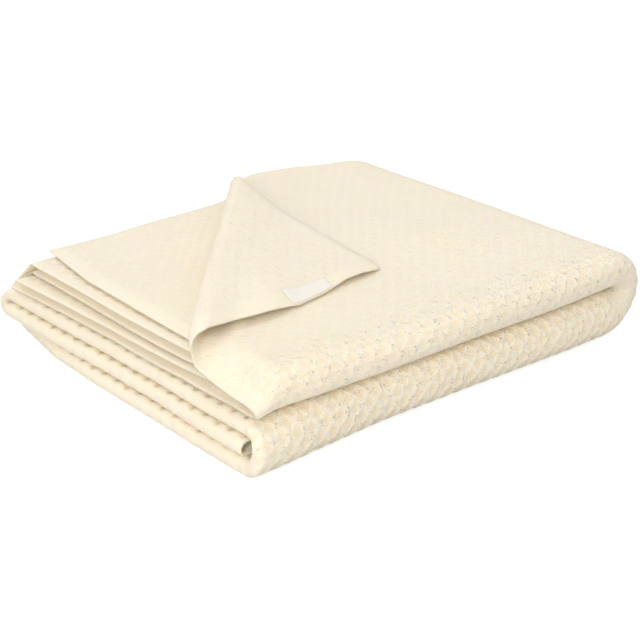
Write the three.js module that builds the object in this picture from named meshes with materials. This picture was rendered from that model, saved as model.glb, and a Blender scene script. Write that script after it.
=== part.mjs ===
// Folded knitted crib blanket with a small blank label sewn to its turned-back corner.
// Millimetres, z up. x runs to the right along the front, y runs to the back.
// The origin is on the surface below the middle of the folded stack.
//
// The blanket is one sheet. It is halved along its length, then folded in three across its width,
// then halved again, which makes twelve layers. The last fold is the big bend at the right end.
// At the left end the upper six layers show their hems and the lower six show three round folds.

import * as THREE from "three";

// Cloth
const CLOTH = 4.2;
const PITCH = 6.1;
const BUNDLE_GAP = 1.0;

// Folded stack, measured from its left end and its front
const BEND_X = 349;
const FRONT_ROLL_Y = 17;
const BACK_ROLL_Y = 304;
const BACK_HEM_Y = 316;
const INNER_HEM_Y = 15;
const STACK_CENTRE_X = 189.2;
const STACK_CENTRE_Y = 166.7;

// How square each round fold is: 2 is a circle, more is squarer
const FRONT_ROLL_POWER = 2.3;
const BACK_ROLL_POWER = 2.0;
const BEND_POWER = 2.05;

// The big bend is pushed out more at its inner layers, so that its hollow is narrow
const BEND_PUSH = 8;

const STACK_R = 3 * PITCH + BUNDLE_GAP / 2;
const HALF_HEIGHT = STACK_R + 2.5 * PITCH + CLOTH / 2;

// Where the left hems of the upper layers lie, by place along the depth.
// Each third has an outer layer and an inner one. From above they lie in the order
// topOuter, topInner, midOuter, midInner, lowInner, lowOuter.
const UPPER_LEFT = [
  { y: 0, topOuter: 6, topInner: 35, midOuter: 28, midInner: 24, lowInner: 17, lowOuter: 9 },
  { y: 30, topOuter: 6, topInner: 35, midOuter: 27, midInner: 23, lowInner: 16, lowOuter: 10 },
  { y: 60, topOuter: 1, topInner: 31, midOuter: 20, midInner: 18, lowInner: 12, lowOuter: 9 },
  { y: 90, topOuter: 3, topInner: 22, midOuter: 15, midInner: 15, lowInner: 10, lowOuter: 10 },
  { y: 120, topOuter: 6, topInner: 22, midOuter: 14, midInner: 14, lowInner: 9, lowOuter: 9 },
  { y: 180, topOuter: 15, topInner: 22, midOuter: 12, midInner: 13, lowInner: 7, lowOuter: 8 },
  { y: 240, topOuter: 22, topInner: 22, midOuter: 11, midInner: 12, lowInner: 2, lowOuter: 3 },
  { y: 300, topOuter: 27, topInner: 29, midOuter: 9, midInner: 10, lowInner: -4, lowOuter: -4 },
  { y: 330, topOuter: 30, topInner: 34, midOuter: 12, midInner: 13, lowInner: -4, lowOuter: -4 },
];

// Where the round left folds of the lower layers reach. The low third is uppermost there.
const LOWER_LEFT = [
  { y: 0, low: 5, mid: 0, top: 1 },
  { y: 60, low: 4, mid: 0, top: -1 },
  { y: 120, low: 6, mid: 2, top: -2 },
  { y: 180, low: 4, mid: 0, top: -4 },
  { y: 240, low: -1, mid: -5, top: -4 },
  { y: 300, low: -5, mid: -8, top: 4 },
  { y: 330, low: -6, mid: -8, top: 9 },
];

// The stack's back is pushed in and out, by place along the front and by height
const BACK_PUSH = [
  { x: 0, low: 12, high: -9 },
  { x: 100, low: 10, high: -5 },
  { x: 200, low: 6, high: 6 },
  { x: 250, low: 6, high: 18 },
  { x: 300, low: 6, high: 16 },
  { x: 340, low: 5, high: 6 },
  { x: 390, low: 2, high: -6 },
];

// And so is its front
const FRONT_PUSH = [
  { x: 0, low: 0, high: 9 },
  { x: 30, low: 1, high: 6 },
  { x: 60, low: 3, high: 2 },
  { x: 120, low: 6, high: 0 },
  { x: 200, low: 4, high: 0 },
  { x: 300, low: 0, high: 0 },
  { x: 390, low: 0, high: 0 },
];

// The whole front sags a little, and the gap between the two front rolls lies above half height
const FRONT_SAG = { part: 0.055, deep: 150 };
const GAP_RISE = { left: 5, right: 4.5, x: 100, long: 200 };

// The middle layers swell at the back left corner
const BACK_LEFT = { push: 7, rise: 3, long: 90, deep: 160 };

// The upper back roll is drawn in at its left end
const ROLL_PINCH = { part: 0.6, x: 40 };

// At the front the top layer's left margin hangs over the ends of the layers below it
const MARGIN_DROP = 22;
const MARGIN_FROM_X = 34;
const MARGIN_WIDE = 26;
const MARGIN_END = { y: 20, long: 70 };

// Turned-back corner of the top layer: the line it rolls over, the roll and how the corner settles
const FLAP_LEFT = { x: 1, y: 52 };
const FLAP_BACK = { x: 246, y: 326 };
const FLAP_BOW = 6;
// Makes the highest value of part * (1 - part) ** 2 into 1
const BOW_SCALE = 27 / 4;
const FLAP_CORNER = { x: 20, y: 305 };
const FLAP_ROLL_LEFT = { high: 7, wide: 8.5 };
const FLAP_ROLL_BACK = { high: 9.5, wide: 10 };
const FLAP_SKEW = 0.4;
const FLAP_LEAD = { high: 6, wide: 70, past: 45 };
const FLAP_REST = PITCH - 0.6;
const FLAP_SETTLE_LEFT = 150;
const FLAP_SETTLE_BACK = 20;
const FLAP_SETTLE_POWER = 1.4;

// The turned corner's lip, by part of its length from the roll to the corner: how far it bulges
// forward, and how high it stands between lying flat (0) and the top of the roll (1)
const LIP = [
  { part: 0, bulge: 5, high: 1.1 },
  { part: 0.15, bulge: 0, high: 0.5 },
  { part: 0.3, bulge: 7, high: 0.5 },
  { part: 0.45, bulge: 7, high: 0 },
  { part: 0.6, bulge: 4, high: 0 },
  { part: 0.75, bulge: -2, high: 0.25 },
  { part: 0.85, bulge: -4, high: 0.25 },
  { part: 1, bulge: -8, high: -0.1 },
];
const LIP_DEEP = 90;
const LIP_HIGH_DEEP = 45;

// Label, from the turned corner along the hem and inward from the hem
const LABEL_START = 66;
const LABEL_LONG = 52;
const LABEL_IN = 1;
const LABEL_DEEP = 12.5;
const LABEL_THICK = 0.9;
const LABEL_LIFT = 0.9;

// The height rises and falls a little over the stack
const HEIGHT_WAVES = [
  { part: 0.016, longX: 330, longY: 290, atX: 60, atY: 40 },
  { part: 0.011, longX: 170, longY: 210, atX: 120, atY: 95 },
];

// Colours
const KNIT_COLOUR = 0xf3e8cf;
const LABEL_COLOUR = 0xfbfaf6;

// Small helpers

function mix(a, b, f) {
  return a + (b - a) * f;
}

function clamp01(f) {
  return Math.min(1, Math.max(0, f));
}

function smooth(f) {
  const c = clamp01(f);
  return c * c * (3 - 2 * c);
}

// A column of a table at a place between its rows
function tableAt(table, key, place, column) {
  let k = 0;
  while (k < table.length - 2 && place > table[k + 1][key]) {
    k += 1;
  }
  const from = table[k];
  const to = table[k + 1];
  return mix(from[column], to[column], clamp01((place - from[key]) / (to[key] - from[key])));
}

// A round fold as a unit curve that starts upward and turns by half a turn
function turn(fraction, power) {
  const s = Math.sin(fraction * Math.PI);
  const c = Math.cos(fraction * Math.PI);
  const r = (Math.abs(s) ** power + Math.abs(c) ** power) ** (-1 / power);
  return { out: s * r, up: c * r };
}

// The sheet's two directions, each as a list of stretches with how many cells each has

const ALONG = [
  { name: "upperOuter", cells: 14 },
  { name: "bendOuter", cells: 8 },
  { name: "lowerOuter", cells: 7 },
  { name: "crease", cells: 4 },
  { name: "lowerInner", cells: 6 },
  { name: "bendInner", cells: 6 },
  { name: "upperInner", cells: 6 },
];

const ACROSS = [
  { name: "topThird", cells: 13 },
  { name: "frontRoll", cells: 8 },
  { name: "lowThird", cells: 6 },
  { name: "backRoll", cells: 6 },
  { name: "midThird", cells: 5 },
];

const FINE_ALONG = 10;
const FINE_ACROSS = 13;

const TOP_CELL_X = BEND_X / ALONG[0].cells;
const TOP_CELL_Y = (BACK_HEM_Y - FRONT_ROLL_Y) / ACROSS[0].cells;

function stretchAt(stretches, position) {
  let start = 0;
  for (const stretch of stretches) {
    if (position <= start + stretch.cells) {
      return { name: stretch.name, f: (position - start) / stretch.cells };
    }
    start += stretch.cells;
  }
  return { name: stretches[stretches.length - 1].name, f: 1 };
}

// Across the width: place in depth and level within one bundle, for a distance from the double layer.
// The thirds it lies between are named, with how far it is from the one to the other, and how much
// of the margin's drop it takes.

function acrossAt(position, off) {
  const { name, f } = stretchAt(ACROSS, position);
  if (name === "topThird") {
    const y = mix(BACK_HEM_Y, FRONT_ROLL_Y, f);
    return { name, from: "top", to: "top", f, y, level: 2 * PITCH + off, hangs: 1 };
  }
  if (name === "frontRoll") {
    const t = turn(f, FRONT_ROLL_POWER);
    const r = 2 * PITCH + off;
    const y = FRONT_ROLL_Y - r * t.out;
    return { name, from: "top", to: "low", f, y, level: r * t.up, hangs: (1 + t.up) / 2 };
  }
  if (name === "lowThird") {
    const y = mix(FRONT_ROLL_Y, BACK_ROLL_Y, f);
    return { name, from: "low", to: "low", f, y, level: -2 * PITCH - off, hangs: 0 };
  }
  if (name === "backRoll") {
    const t = turn(f, BACK_ROLL_POWER);
    const r = PITCH + off;
    const y = BACK_ROLL_Y + r * t.out;
    return { name, from: "low", to: "mid", f, y, level: -PITCH - r * t.up, hangs: 0 };
  }
  const y = mix(BACK_ROLL_Y, INNER_HEM_Y, f);
  return { name, from: "mid", to: "mid", f, y, level: off, hangs: 0 };
}

// How far the top layer's left margin hangs, by place on the top

function marginDrop(x, y) {
  const over = smooth((MARGIN_FROM_X - x) / MARGIN_WIDE);
  const ended = smooth((y - MARGIN_END.y) / MARGIN_END.long);
  return MARGIN_DROP * over * (1 - ended);
}

// Along the length: the point on the bend of the last fold

function foldedPoint(along, across, side) {
  const a = stretchAt(ALONG, along);
  let off = PITCH / 2 + side;
  let reach = 0;
  if (a.name === "crease") {
    off = (PITCH / 2 + side) * Math.cos(a.f * Math.PI);
    reach = (PITCH / 2 + side) * Math.sin(a.f * Math.PI);
  } else if (a.name.endsWith("Inner")) {
    off = -off;
  }
  const c = acrossAt(across, off);
  const layer = a.name.endsWith("Inner") ? "Inner" : "Outer";
  const upperLeft = mix(
    tableAt(UPPER_LEFT, "y", c.y, c.from + layer),
    tableAt(UPPER_LEFT, "y", c.y, c.to + layer),
    smooth(c.f),
  );
  const lowerLeft = PITCH + mix(
    tableAt(LOWER_LEFT, "y", c.y, c.from),
    tableAt(LOWER_LEFT, "y", c.y, c.to),
    smooth(c.f),
  );
  const r = STACK_R + c.level;
  const point = { x: 0, y: c.y, z: 0, top: false };
  if (a.name === "upperOuter" || a.name === "upperInner") {
    const f = a.name === "upperOuter" ? a.f : 1 - a.f;
    point.x = mix(upperLeft, BEND_X, f);
    point.z = r;
    point.top = a.name === "upperOuter" && c.name === "topThird";
    if (a.name === "upperOuter") {
      point.z -= c.hangs * marginDrop(point.x, c.y);
    }
    if (c.name === "backRoll") {
      const pinch = ROLL_PINCH.part * smooth((ROLL_PINCH.x - point.x) / ROLL_PINCH.x);
      point.y -= pinch * (c.y - BACK_ROLL_Y);
    }
  } else if (a.name === "bendOuter" || a.name === "bendInner") {
    const t = turn(a.name === "bendOuter" ? a.f : 1 - a.f, BEND_POWER);
    point.x = BEND_X + r * t.out + BEND_PUSH * (1 - r / (2 * STACK_R)) * t.out;
    point.z = r * t.up;
  } else {
    const f = a.name === "lowerOuter" ? a.f : 1 - a.f;
    point.x = a.name === "crease" ? lowerLeft - reach : mix(BEND_X, lowerLeft, f);
    point.z = -r;
  }
  return point;
}

// The corner of the top layer rolls over a line and comes down towards the middle

const FLAP_DX = FLAP_BACK.x - FLAP_LEFT.x;
const FLAP_DY = FLAP_BACK.y - FLAP_LEFT.y;
const FLAP_LINE = Math.hypot(FLAP_DX, FLAP_DY);
const FLAP_DIR = { x: FLAP_DX / FLAP_LINE, y: FLAP_DY / FLAP_LINE };
const FLAP_OUT = { x: -FLAP_DIR.y, y: FLAP_DIR.x };
const FLAP_CORNER_DX = FLAP_CORNER.x - FLAP_LEFT.x;
const FLAP_CORNER_DY = FLAP_CORNER.y - FLAP_LEFT.y;
const FLAP_CORNER_OUT = FLAP_CORNER_DX * FLAP_OUT.x + FLAP_CORNER_DY * FLAP_OUT.y;

// How far the line bows out towards the turned side, by place along it
function bowAt(along) {
  const part = clamp01(along / FLAP_LINE);
  return FLAP_BOW * BOW_SCALE * part * (1 - part) ** 2;
}

function turnBack(x, y, hem, side) {
  const dx = x - FLAP_LEFT.x;
  const dy = y - FLAP_LEFT.y;
  const along = dx * FLAP_DIR.x + dy * FLAP_DIR.y;
  const out = dx * FLAP_OUT.x + dy * FLAP_OUT.y - bowAt(along);
  const rise = FLAP_LEAD.high * clamp01(along / FLAP_LINE) * smooth(1 + out / FLAP_LEAD.wide);
  if (out <= 0) {
    return { x, y, lift: side + rise };
  }
  const skewed = along - FLAP_SKEW * out;
  const back = clamp01(skewed / FLAP_LINE);
  const high = mix(FLAP_ROLL_LEFT.high, FLAP_ROLL_BACK.high, back);
  const wide = mix(FLAP_ROLL_LEFT.wide, FLAP_ROLL_BACK.wide, back);
  const arc = (Math.PI * (high + wide)) / 2;
  const part = clamp01((out - arc) / (FLAP_CORNER_OUT - arc));
  let reach = 0;
  let lift = 0;
  if (out < arc) {
    const turned = (out / arc) * Math.PI;
    reach = (wide - side) * Math.sin(turned);
    lift = high - (high - side) * Math.cos(turned);
  } else {
    const past = out - arc;
    const settle = past / mix(FLAP_SETTLE_LEFT, FLAP_SETTLE_BACK, back);
    const inside = (1 - clamp01(settle)) ** FLAP_SETTLE_POWER;
    const atLip = 1 - smooth(hem / LIP_HIGH_DEEP);
    reach = -past;
    lift = mix(FLAP_REST, 2 * high, mix(inside, tableAt(LIP, "part", part, "high"), atLip)) - side;
  }
  const bulge = tableAt(LIP, "part", part, "bulge") * (1 - smooth(hem / LIP_DEEP)) * clamp01(out / arc);
  reach += bowAt(skewed);
  return {
    x: FLAP_LEFT.x + FLAP_DIR.x * skewed + FLAP_OUT.x * reach,
    y: FLAP_LEFT.y + FLAP_DIR.y * skewed + FLAP_OUT.y * reach - bulge,
    lift: lift + rise * (1 - smooth((out - arc) / FLAP_LEAD.past)),
  };
}

// The whole stack is a little uneven, and so are its outline and its top

function settled(x, y, z) {
  const high = smooth(0.5 + z / HALF_HEIGHT);
  const push = mix(tableAt(BACK_PUSH, "x", x, "low"), tableAt(BACK_PUSH, "x", x, "high"), high);
  const ahead = mix(tableAt(FRONT_PUSH, "x", x, "low"), tableAt(FRONT_PUSH, "x", x, "high"), high);
  const inFront = 1 - smooth(y / FRONT_SAG.deep);
  const toRight = smooth((x - GAP_RISE.x) / GAP_RISE.long);
  const atCorner = (1 - smooth(x / BACK_LEFT.long)) * smooth(1 + (y - BACK_HEM_Y) / BACK_LEFT.deep);
  const middle = 1 - clamp01(Math.abs(z) / HALF_HEIGHT) ** 2;
  const rise = mix(GAP_RISE.left * inFront, GAP_RISE.right, toRight) + BACK_LEFT.rise * atCorner;
  const raised = z + rise * middle;
  const swollen = push + BACK_LEFT.push * atCorner * middle;
  const deep = clamp01(y / BACK_HEM_Y);
  const swell = HEIGHT_WAVES.reduce((sum, wave) => {
    const waveX = Math.cos((2 * Math.PI * (x - wave.atX)) / wave.longX);
    const waveY = Math.cos((2 * Math.PI * (y - wave.atY)) / wave.longY);
    return sum + wave.part * waveX * waveY;
  }, 1 - FRONT_SAG.part * inFront);
  return {
    x: x - STACK_CENTRE_X,
    y: y + swollen * deep + ahead * (1 - deep) - STACK_CENTRE_Y,
    z: (raised + HALF_HEIGHT) * swell,
  };
}

function clothPoint(along, across, side) {
  const p = foldedPoint(along, across, side);
  if (p.top) {
    const mid = foldedPoint(along, across, 0);
    const flap = turnBack(mid.x, mid.y, along * TOP_CELL_X, side);
    return settled(flap.x, flap.y, mid.z + flap.lift);
  }
  return settled(p.x, p.y, p.z);
}

// A closed skin over flat places: outer face, inner face and the rim between them

function skinGeometry(places, triangles, outer, inner) {
  const positions = [];
  for (const side of [outer, inner]) {
    for (const [along, across] of places) {
      const p = clothPoint(along, across, side);
      positions.push(p.x, p.y, p.z);
    }
  }
  const faces = [];
  const rim = new Map();
  const count = places.length;
  for (const [a, b, c] of triangles) {
    faces.push(a, c, b);
    faces.push(a + count, b + count, c + count);
    for (const [from, to] of [[a, c], [c, b], [b, a]]) {
      if (!rim.delete(to + "," + from)) {
        rim.set(from + "," + to, [from, to]);
      }
    }
  }
  for (const [from, to] of rim.values()) {
    faces.push(to, from, from + count);
    faces.push(to, from + count, to + count);
  }
  const geometry = new THREE.BufferGeometry();
  geometry.setAttribute("position", new THREE.Float32BufferAttribute(positions, 3));
  geometry.setIndex(faces);
  return geometry;
}

// The blanket's sheet, with cells halved where its corner turns back

function sheetGeometry() {
  const columns = ALONG.reduce((sum, stretch) => sum + stretch.cells, 0);
  const rows = ACROSS.reduce((sum, stretch) => sum + stretch.cells, 0);
  const isFine = (i, j) => i >= 0 && j >= 0 && i < FINE_ALONG && j < FINE_ACROSS;
  const known = new Map();
  const places = [];
  const triangles = [];
  const vertex = (halfI, halfJ) => {
    const key = halfI + "," + halfJ;
    if (!known.has(key)) {
      known.set(key, places.length);
      places.push([halfI / 2, halfJ / 2]);
    }
    return known.get(key);
  };
  const square = (halfI, halfJ, step) => {
    const a = vertex(halfI, halfJ);
    const b = vertex(halfI + step, halfJ);
    const c = vertex(halfI + step, halfJ + step);
    const d = vertex(halfI, halfJ + step);
    triangles.push([a, b, d], [b, c, d]);
  };
  for (let i = 0; i < columns; i += 1) {
    for (let j = 0; j < rows; j += 1) {
      const halfI = 2 * i;
      const halfJ = 2 * j;
      if (isFine(i, j)) {
        square(halfI, halfJ, 1);
        square(halfI + 1, halfJ, 1);
        square(halfI, halfJ + 1, 1);
        square(halfI + 1, halfJ + 1, 1);
        continue;
      }
      const ring = [vertex(halfI, halfJ)];
      if (isFine(i, j - 1)) {
        ring.push(vertex(halfI + 1, halfJ));
      }
      ring.push(vertex(halfI + 2, halfJ), vertex(halfI + 2, halfJ + 2), vertex(halfI, halfJ + 2));
      if (isFine(i - 1, j)) {
        ring.push(vertex(halfI, halfJ + 1));
      }
      if (ring.length === 4) {
        square(halfI, halfJ, 2);
        continue;
      }
      const middle = vertex(halfI + 1, halfJ + 1);
      ring.forEach((corner, k) => triangles.push([corner, ring[(k + 1) % ring.length], middle]));
    }
  }
  return skinGeometry(places, triangles, CLOTH / 2, -CLOTH / 2);
}

// The label lies on the turned corner's upper face, along the hem

function labelGeometry() {
  const cellsLong = 8;
  const cellsDeep = 3;
  const places = [];
  const triangles = [];
  for (let i = 0; i <= cellsDeep; i += 1) {
    for (let j = 0; j <= cellsLong; j += 1) {
      const inward = LABEL_IN + (LABEL_DEEP * i) / cellsDeep;
      const fromCorner = LABEL_START + (LABEL_LONG * j) / cellsLong;
      places.push([inward / TOP_CELL_X, fromCorner / TOP_CELL_Y]);
    }
  }
  for (let i = 0; i < cellsDeep; i += 1) {
    for (let j = 0; j < cellsLong; j += 1) {
      const a = i * (cellsLong + 1) + j;
      const b = a + cellsLong + 1;
      triangles.push([a, b, a + 1], [b, b + 1, a + 1]);
    }
  }
  const near = -CLOTH / 2 - LABEL_LIFT;
  return skinGeometry(places, triangles, near, near - LABEL_THICK);
}

function namedMesh(name, geometry, colour, roughness) {
  const material = new THREE.MeshStandardMaterial({ color: colour, roughness, metalness: 0 });
  const mesh = new THREE.Mesh(geometry, material);
  mesh.name = name;
  return mesh;
}

const blanket = new THREE.Group();
blanket.name = "crib_blanket";
blanket.add(namedMesh("blanket", sheetGeometry(), KNIT_COLOUR, 0.95));
blanket.add(namedMesh("label", labelGeometry(), LABEL_COLOUR, 0.8));

export default blanket;
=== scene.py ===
"""Folded knitted crib blanket, with one corner of its top layer turned back.

The cloth is one sheet carried through every fold, so its pattern runs along it as it was knitted.
Lengths inside the fold are millimetres, and everything that Blender is given is in metres.
"""

import logging
import math
from dataclasses import dataclass
from enum import Enum

import bpy
import numpy as np
from mathutils import Matrix, Vector
from mathutils.bvhtree import BVHTree


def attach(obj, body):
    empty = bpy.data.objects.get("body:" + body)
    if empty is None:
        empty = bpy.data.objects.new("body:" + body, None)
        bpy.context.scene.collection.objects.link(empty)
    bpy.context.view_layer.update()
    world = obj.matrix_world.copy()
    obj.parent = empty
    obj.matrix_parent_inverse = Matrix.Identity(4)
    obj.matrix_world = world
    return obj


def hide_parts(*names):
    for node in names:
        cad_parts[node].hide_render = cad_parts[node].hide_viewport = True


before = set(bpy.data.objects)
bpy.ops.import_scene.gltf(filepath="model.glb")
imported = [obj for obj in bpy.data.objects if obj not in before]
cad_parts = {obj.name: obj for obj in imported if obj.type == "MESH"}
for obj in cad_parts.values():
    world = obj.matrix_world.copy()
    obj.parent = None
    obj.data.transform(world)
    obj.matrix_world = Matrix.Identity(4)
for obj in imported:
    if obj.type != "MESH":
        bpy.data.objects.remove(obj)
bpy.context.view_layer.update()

MM = 0.001
BAKE_LAYOUT = "OFBake"
LOG = logging.getLogger("crib_blanket")

Array = np.ndarray


# Small helpers


def mix(a: Array, b: Array, f: Array) -> Array:
    """Goes from a to b as f goes from 0 to 1."""
    return a + (b - a) * f


def clamp01(f: Array) -> Array:
    """Keeps f between 0 and 1."""
    return np.clip(f, 0.0, 1.0)


def smooth(f: Array) -> Array:
    """Eases f from 0 to 1 with no corner at either end."""
    c = clamp01(f)
    return c * c * (3.0 - 2.0 * c)


@dataclass(frozen=True)
class Table:
    """Rows of numbers under named columns, read between its rows along the first column."""

    columns: tuple[str, ...]
    rows: tuple[tuple[float, ...], ...]

    def at(self, column: str, place: Array) -> Array:
        """Reads a column.

        Args:
            column: the column's name.
            place: values of the first column.

        Returns:
            The column at each place.
        """
        values = np.array(self.rows, float)
        return np.interp(place, values[:, 0], values[:, self.columns.index(column)])


@dataclass(frozen=True)
class Stretch:
    """One stretch of the sheet between two folds, with the steps that it is counted in."""

    name: str
    steps: int


@dataclass(frozen=True)
class Row:
    """The stretches of the sheet in one direction."""

    stretches: tuple[Stretch, ...]

    def total(self) -> int:
        """The number of steps from one edge of the sheet to the other."""
        return sum(s.steps for s in self.stretches)

    def split(self, position: Array) -> tuple[Array, Array]:
        """Finds the stretch at each position.

        Args:
            position: steps from the edge.

        Returns:
            The stretch's number and how far through it the position is, from 0 to 1.
        """
        ends = np.cumsum([s.steps for s in self.stretches])
        number = np.minimum(np.searchsorted(ends, position, side="left"), len(ends) - 1)
        steps = np.array([s.steps for s in self.stretches])[number]
        return number, (position - (ends[number] - steps)) / steps

    def named(self, number: Array, *names: str) -> Array:
        """Where the stretch is one of those named."""
        found = [k for k, s in enumerate(self.stretches) if s.name in names]
        return np.isin(number, found)


class Face(Enum):
    """The two faces of the cloth, with the sign of their side."""

    RIGHT = 1
    WRONG = -1


@dataclass
class FoldedCloth:
    """Carries the flat sheet through its folds: the same fold as the frame's solid."""

    thick: float = 4.2
    pitch: float = 6.1
    bundle_gap: float = 1.0
    bend_x: float = 349.0
    front_roll_y: float = 17.0
    back_roll_y: float = 304.0
    back_hem_y: float = 316.0
    inner_hem_y: float = 15.0
    centre_x: float = 189.2
    centre_y: float = 166.7
    front_power: float = 2.3
    back_power: float = 2.0
    bend_power: float = 2.05
    bend_push: float = 8.0
    margin_drop: float = 22.0
    margin_from_x: float = 34.0
    margin_wide: float = 26.0
    margin_end: tuple[float, float] = (20.0, 70.0)
    roll_pinch: float = 0.6
    roll_pinch_x: float = 40.0
    front_sag: float = 0.055
    front_sag_deep: float = 150.0
    gap_rise: tuple[float, float] = (5.0, 4.5)
    gap_rise_x: tuple[float, float] = (100.0, 200.0)
    back_left_push: float = 7.0
    back_left_rise: float = 3.0
    back_left_reach: tuple[float, float] = (90.0, 160.0)
    flap_left: tuple[float, float] = (1.0, 52.0)
    flap_back: tuple[float, float] = (246.0, 326.0)
    flap_corner: tuple[float, float] = (20.0, 305.0)
    flap_high: tuple[float, float] = (7.0, 9.5)
    flap_wide: tuple[float, float] = (8.5, 10.0)
    flap_bow: float = 6.0
    bow_scale: float = 27 / 4
    flap_skew: float = 0.4
    flap_lead_high: float = 6.0
    flap_lead_wide: float = 70.0
    flap_lead_past: float = 45.0
    flap_lift: float = -0.6
    flap_settle: tuple[float, float] = (150.0, 20.0)
    flap_settle_power: float = 1.4
    lip_deep: float = 90.0
    lip_high_deep: float = 45.0
    lip: Table = Table(
        ("part", "bulge", "high"),
        (
            (0, 5, 1.1),
            (0.15, 0, 0.5),
            (0.3, 7, 0.5),
            (0.45, 7, 0),
            (0.6, 4, 0),
            (0.75, -2, 0.25),
            (0.85, -4, 0.25),
            (1, -8, -0.1),
        ),
    )
    wrinkles: Table = Table(
        ("number", "out", "wide", "high", "from", "to"),
        (
            (1, -8, 3.5, 2.6, 0.12, 0.85),
            (2, -19, 4.5, 1.9, 0.05, 0.55),
            (3, -33, 6, 1.0, 0.3, 0.9),
        ),
    )
    wrinkle_end: float = 0.15
    upper_left: Table = Table(
        ("y", "topOuter", "topInner", "midOuter", "midInner", "lowInner", "lowOuter"),
        (
            (0, 6, 35, 28, 24, 17, 9),
            (30, 6, 35, 27, 23, 16, 10),
            (60, 1, 31, 20, 18, 12, 9),
            (90, 3, 22, 15, 15, 10, 10),
            (120, 6, 22, 14, 14, 9, 9),
            (180, 15, 22, 12, 13, 7, 8),
            (240, 22, 22, 11, 12, 2, 3),
            (300, 27, 29, 9, 10, -4, -4),
            (330, 30, 34, 12, 13, -4, -4),
        ),
    )
    lower_left: Table = Table(
        ("y", "low", "mid", "top"),
        (
            (0, 5, 0, 1),
            (60, 4, 0, -1),
            (120, 6, 2, -2),
            (180, 4, 0, -4),
            (240, -1, -5, -4),
            (300, -5, -8, 4),
            (330, -6, -8, 9),
        ),
    )
    back_push: Table = Table(
        ("x", "low", "high"),
        (
            (0, 12, -9),
            (100, 10, -5),
            (200, 6, 6),
            (250, 6, 18),
            (300, 6, 16),
            (340, 5, 6),
            (390, 2, -6),
        ),
    )
    front_push: Table = Table(
        ("x", "low", "high"),
        ((0, 0, 9), (30, 1, 6), (60, 3, 2), (120, 6, 0), (200, 4, 0), (300, 0, 0), (390, 0, 0)),
    )
    height_waves: tuple[tuple[float, float, float, float, float], ...] = (
        (0.016, 330.0, 290.0, 60.0, 40.0),
        (0.011, 170.0, 210.0, 120.0, 95.0),
    )
    along: Row = Row(
        (
            Stretch("upperOuter", 14),
            Stretch("bendOuter", 8),
            Stretch("lowerOuter", 7),
            Stretch("crease", 4),
            Stretch("lowerInner", 6),
            Stretch("bendInner", 6),
            Stretch("upperInner", 6),
        )
    )
    across: Row = Row(
        (
            Stretch("topThird", 13),
            Stretch("frontRoll", 8),
            Stretch("lowThird", 6),
            Stretch("backRoll", 6),
            Stretch("midThird", 5),
        )
    )
    thirds_from: tuple[str, ...] = ("top", "top", "low", "low", "mid")
    thirds_to: tuple[str, ...] = ("top", "low", "low", "mid", "mid")
    samples: int = 24

    def __post_init__(self) -> None:
        """Measures the sheet along its middle, so that flat lengths are real ones."""
        self.stack_r = 3 * self.pitch + self.bundle_gap / 2
        self.half_height = self.stack_r + 2.5 * self.pitch + self.thick / 2
        self.top_step_x = self.bend_x / self.along.stretches[0].steps
        self.top_step_y = (self.back_hem_y - self.front_roll_y) / self.across.stretches[0].steps
        run = np.subtract(self.flap_back, self.flap_left)
        self.flap_line = float(np.hypot(*run))
        self.flap_dir = run / self.flap_line
        self.flap_out = np.array([-self.flap_dir[1], self.flap_dir[0]])
        corner = np.subtract(self.flap_corner, self.flap_left)
        self.flap_corner_out = float(corner @ self.flap_out)
        mid_top = 0.5 * self.across.stretches[0].steps
        mid_upper = 0.5 * self.along.stretches[0].steps
        self.along_steps, self.along_mm = self.measured(self.along, lambda s: (s, mid_top))
        self.across_steps, self.across_mm = self.measured(self.across, lambda s: (mid_upper, s))

    def measured(self, row: Row, place: object) -> tuple[Array, Array]:
        """Measures one direction of the sheet through its folds.

        Args:
            row: the direction's stretches.
            place: makes a position along and across from a position in this direction.

        Returns:
            Positions in steps, and the length of cloth up to each in millimetres.
        """
        steps = np.linspace(0, row.total(), row.total() * self.samples + 1)
        along, across = (np.broadcast_to(np.asarray(p, float), steps.shape) for p in place(steps))
        points, _ = self.folded(along, across, np.zeros_like(steps))
        gaps = np.linalg.norm(np.diff(points, axis=0), axis=1)
        return steps, np.concatenate([[0.0], np.cumsum(gaps)])

    @property
    def long(self) -> float:
        """The sheet's length in millimetres."""
        return float(self.along_mm[-1])

    @property
    def wide(self) -> float:
        """The sheet's width in millimetres."""
        return float(self.across_mm[-1])

    def to_steps(self, u: Array, v: Array) -> tuple[Array, Array]:
        """Turns flat millimetres into steps along and across."""
        along = np.interp(u, self.along_mm, self.along_steps)
        return along, np.interp(v, self.across_mm, self.across_steps)

    @staticmethod
    def turn(fraction: Array, power: float) -> tuple[Array, Array]:
        """A round fold as a unit curve that turns by half a turn.

        Args:
            fraction: how far round, from 0 to 1.
            power: 2 is a circle, more is squarer.

        Returns:
            The way out and the way up.
        """
        s, c = np.sin(fraction * math.pi), np.cos(fraction * math.pi)
        r = (np.abs(s) ** power + np.abs(c) ** power) ** (-1.0 / power)
        return s * r, c * r

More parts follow.
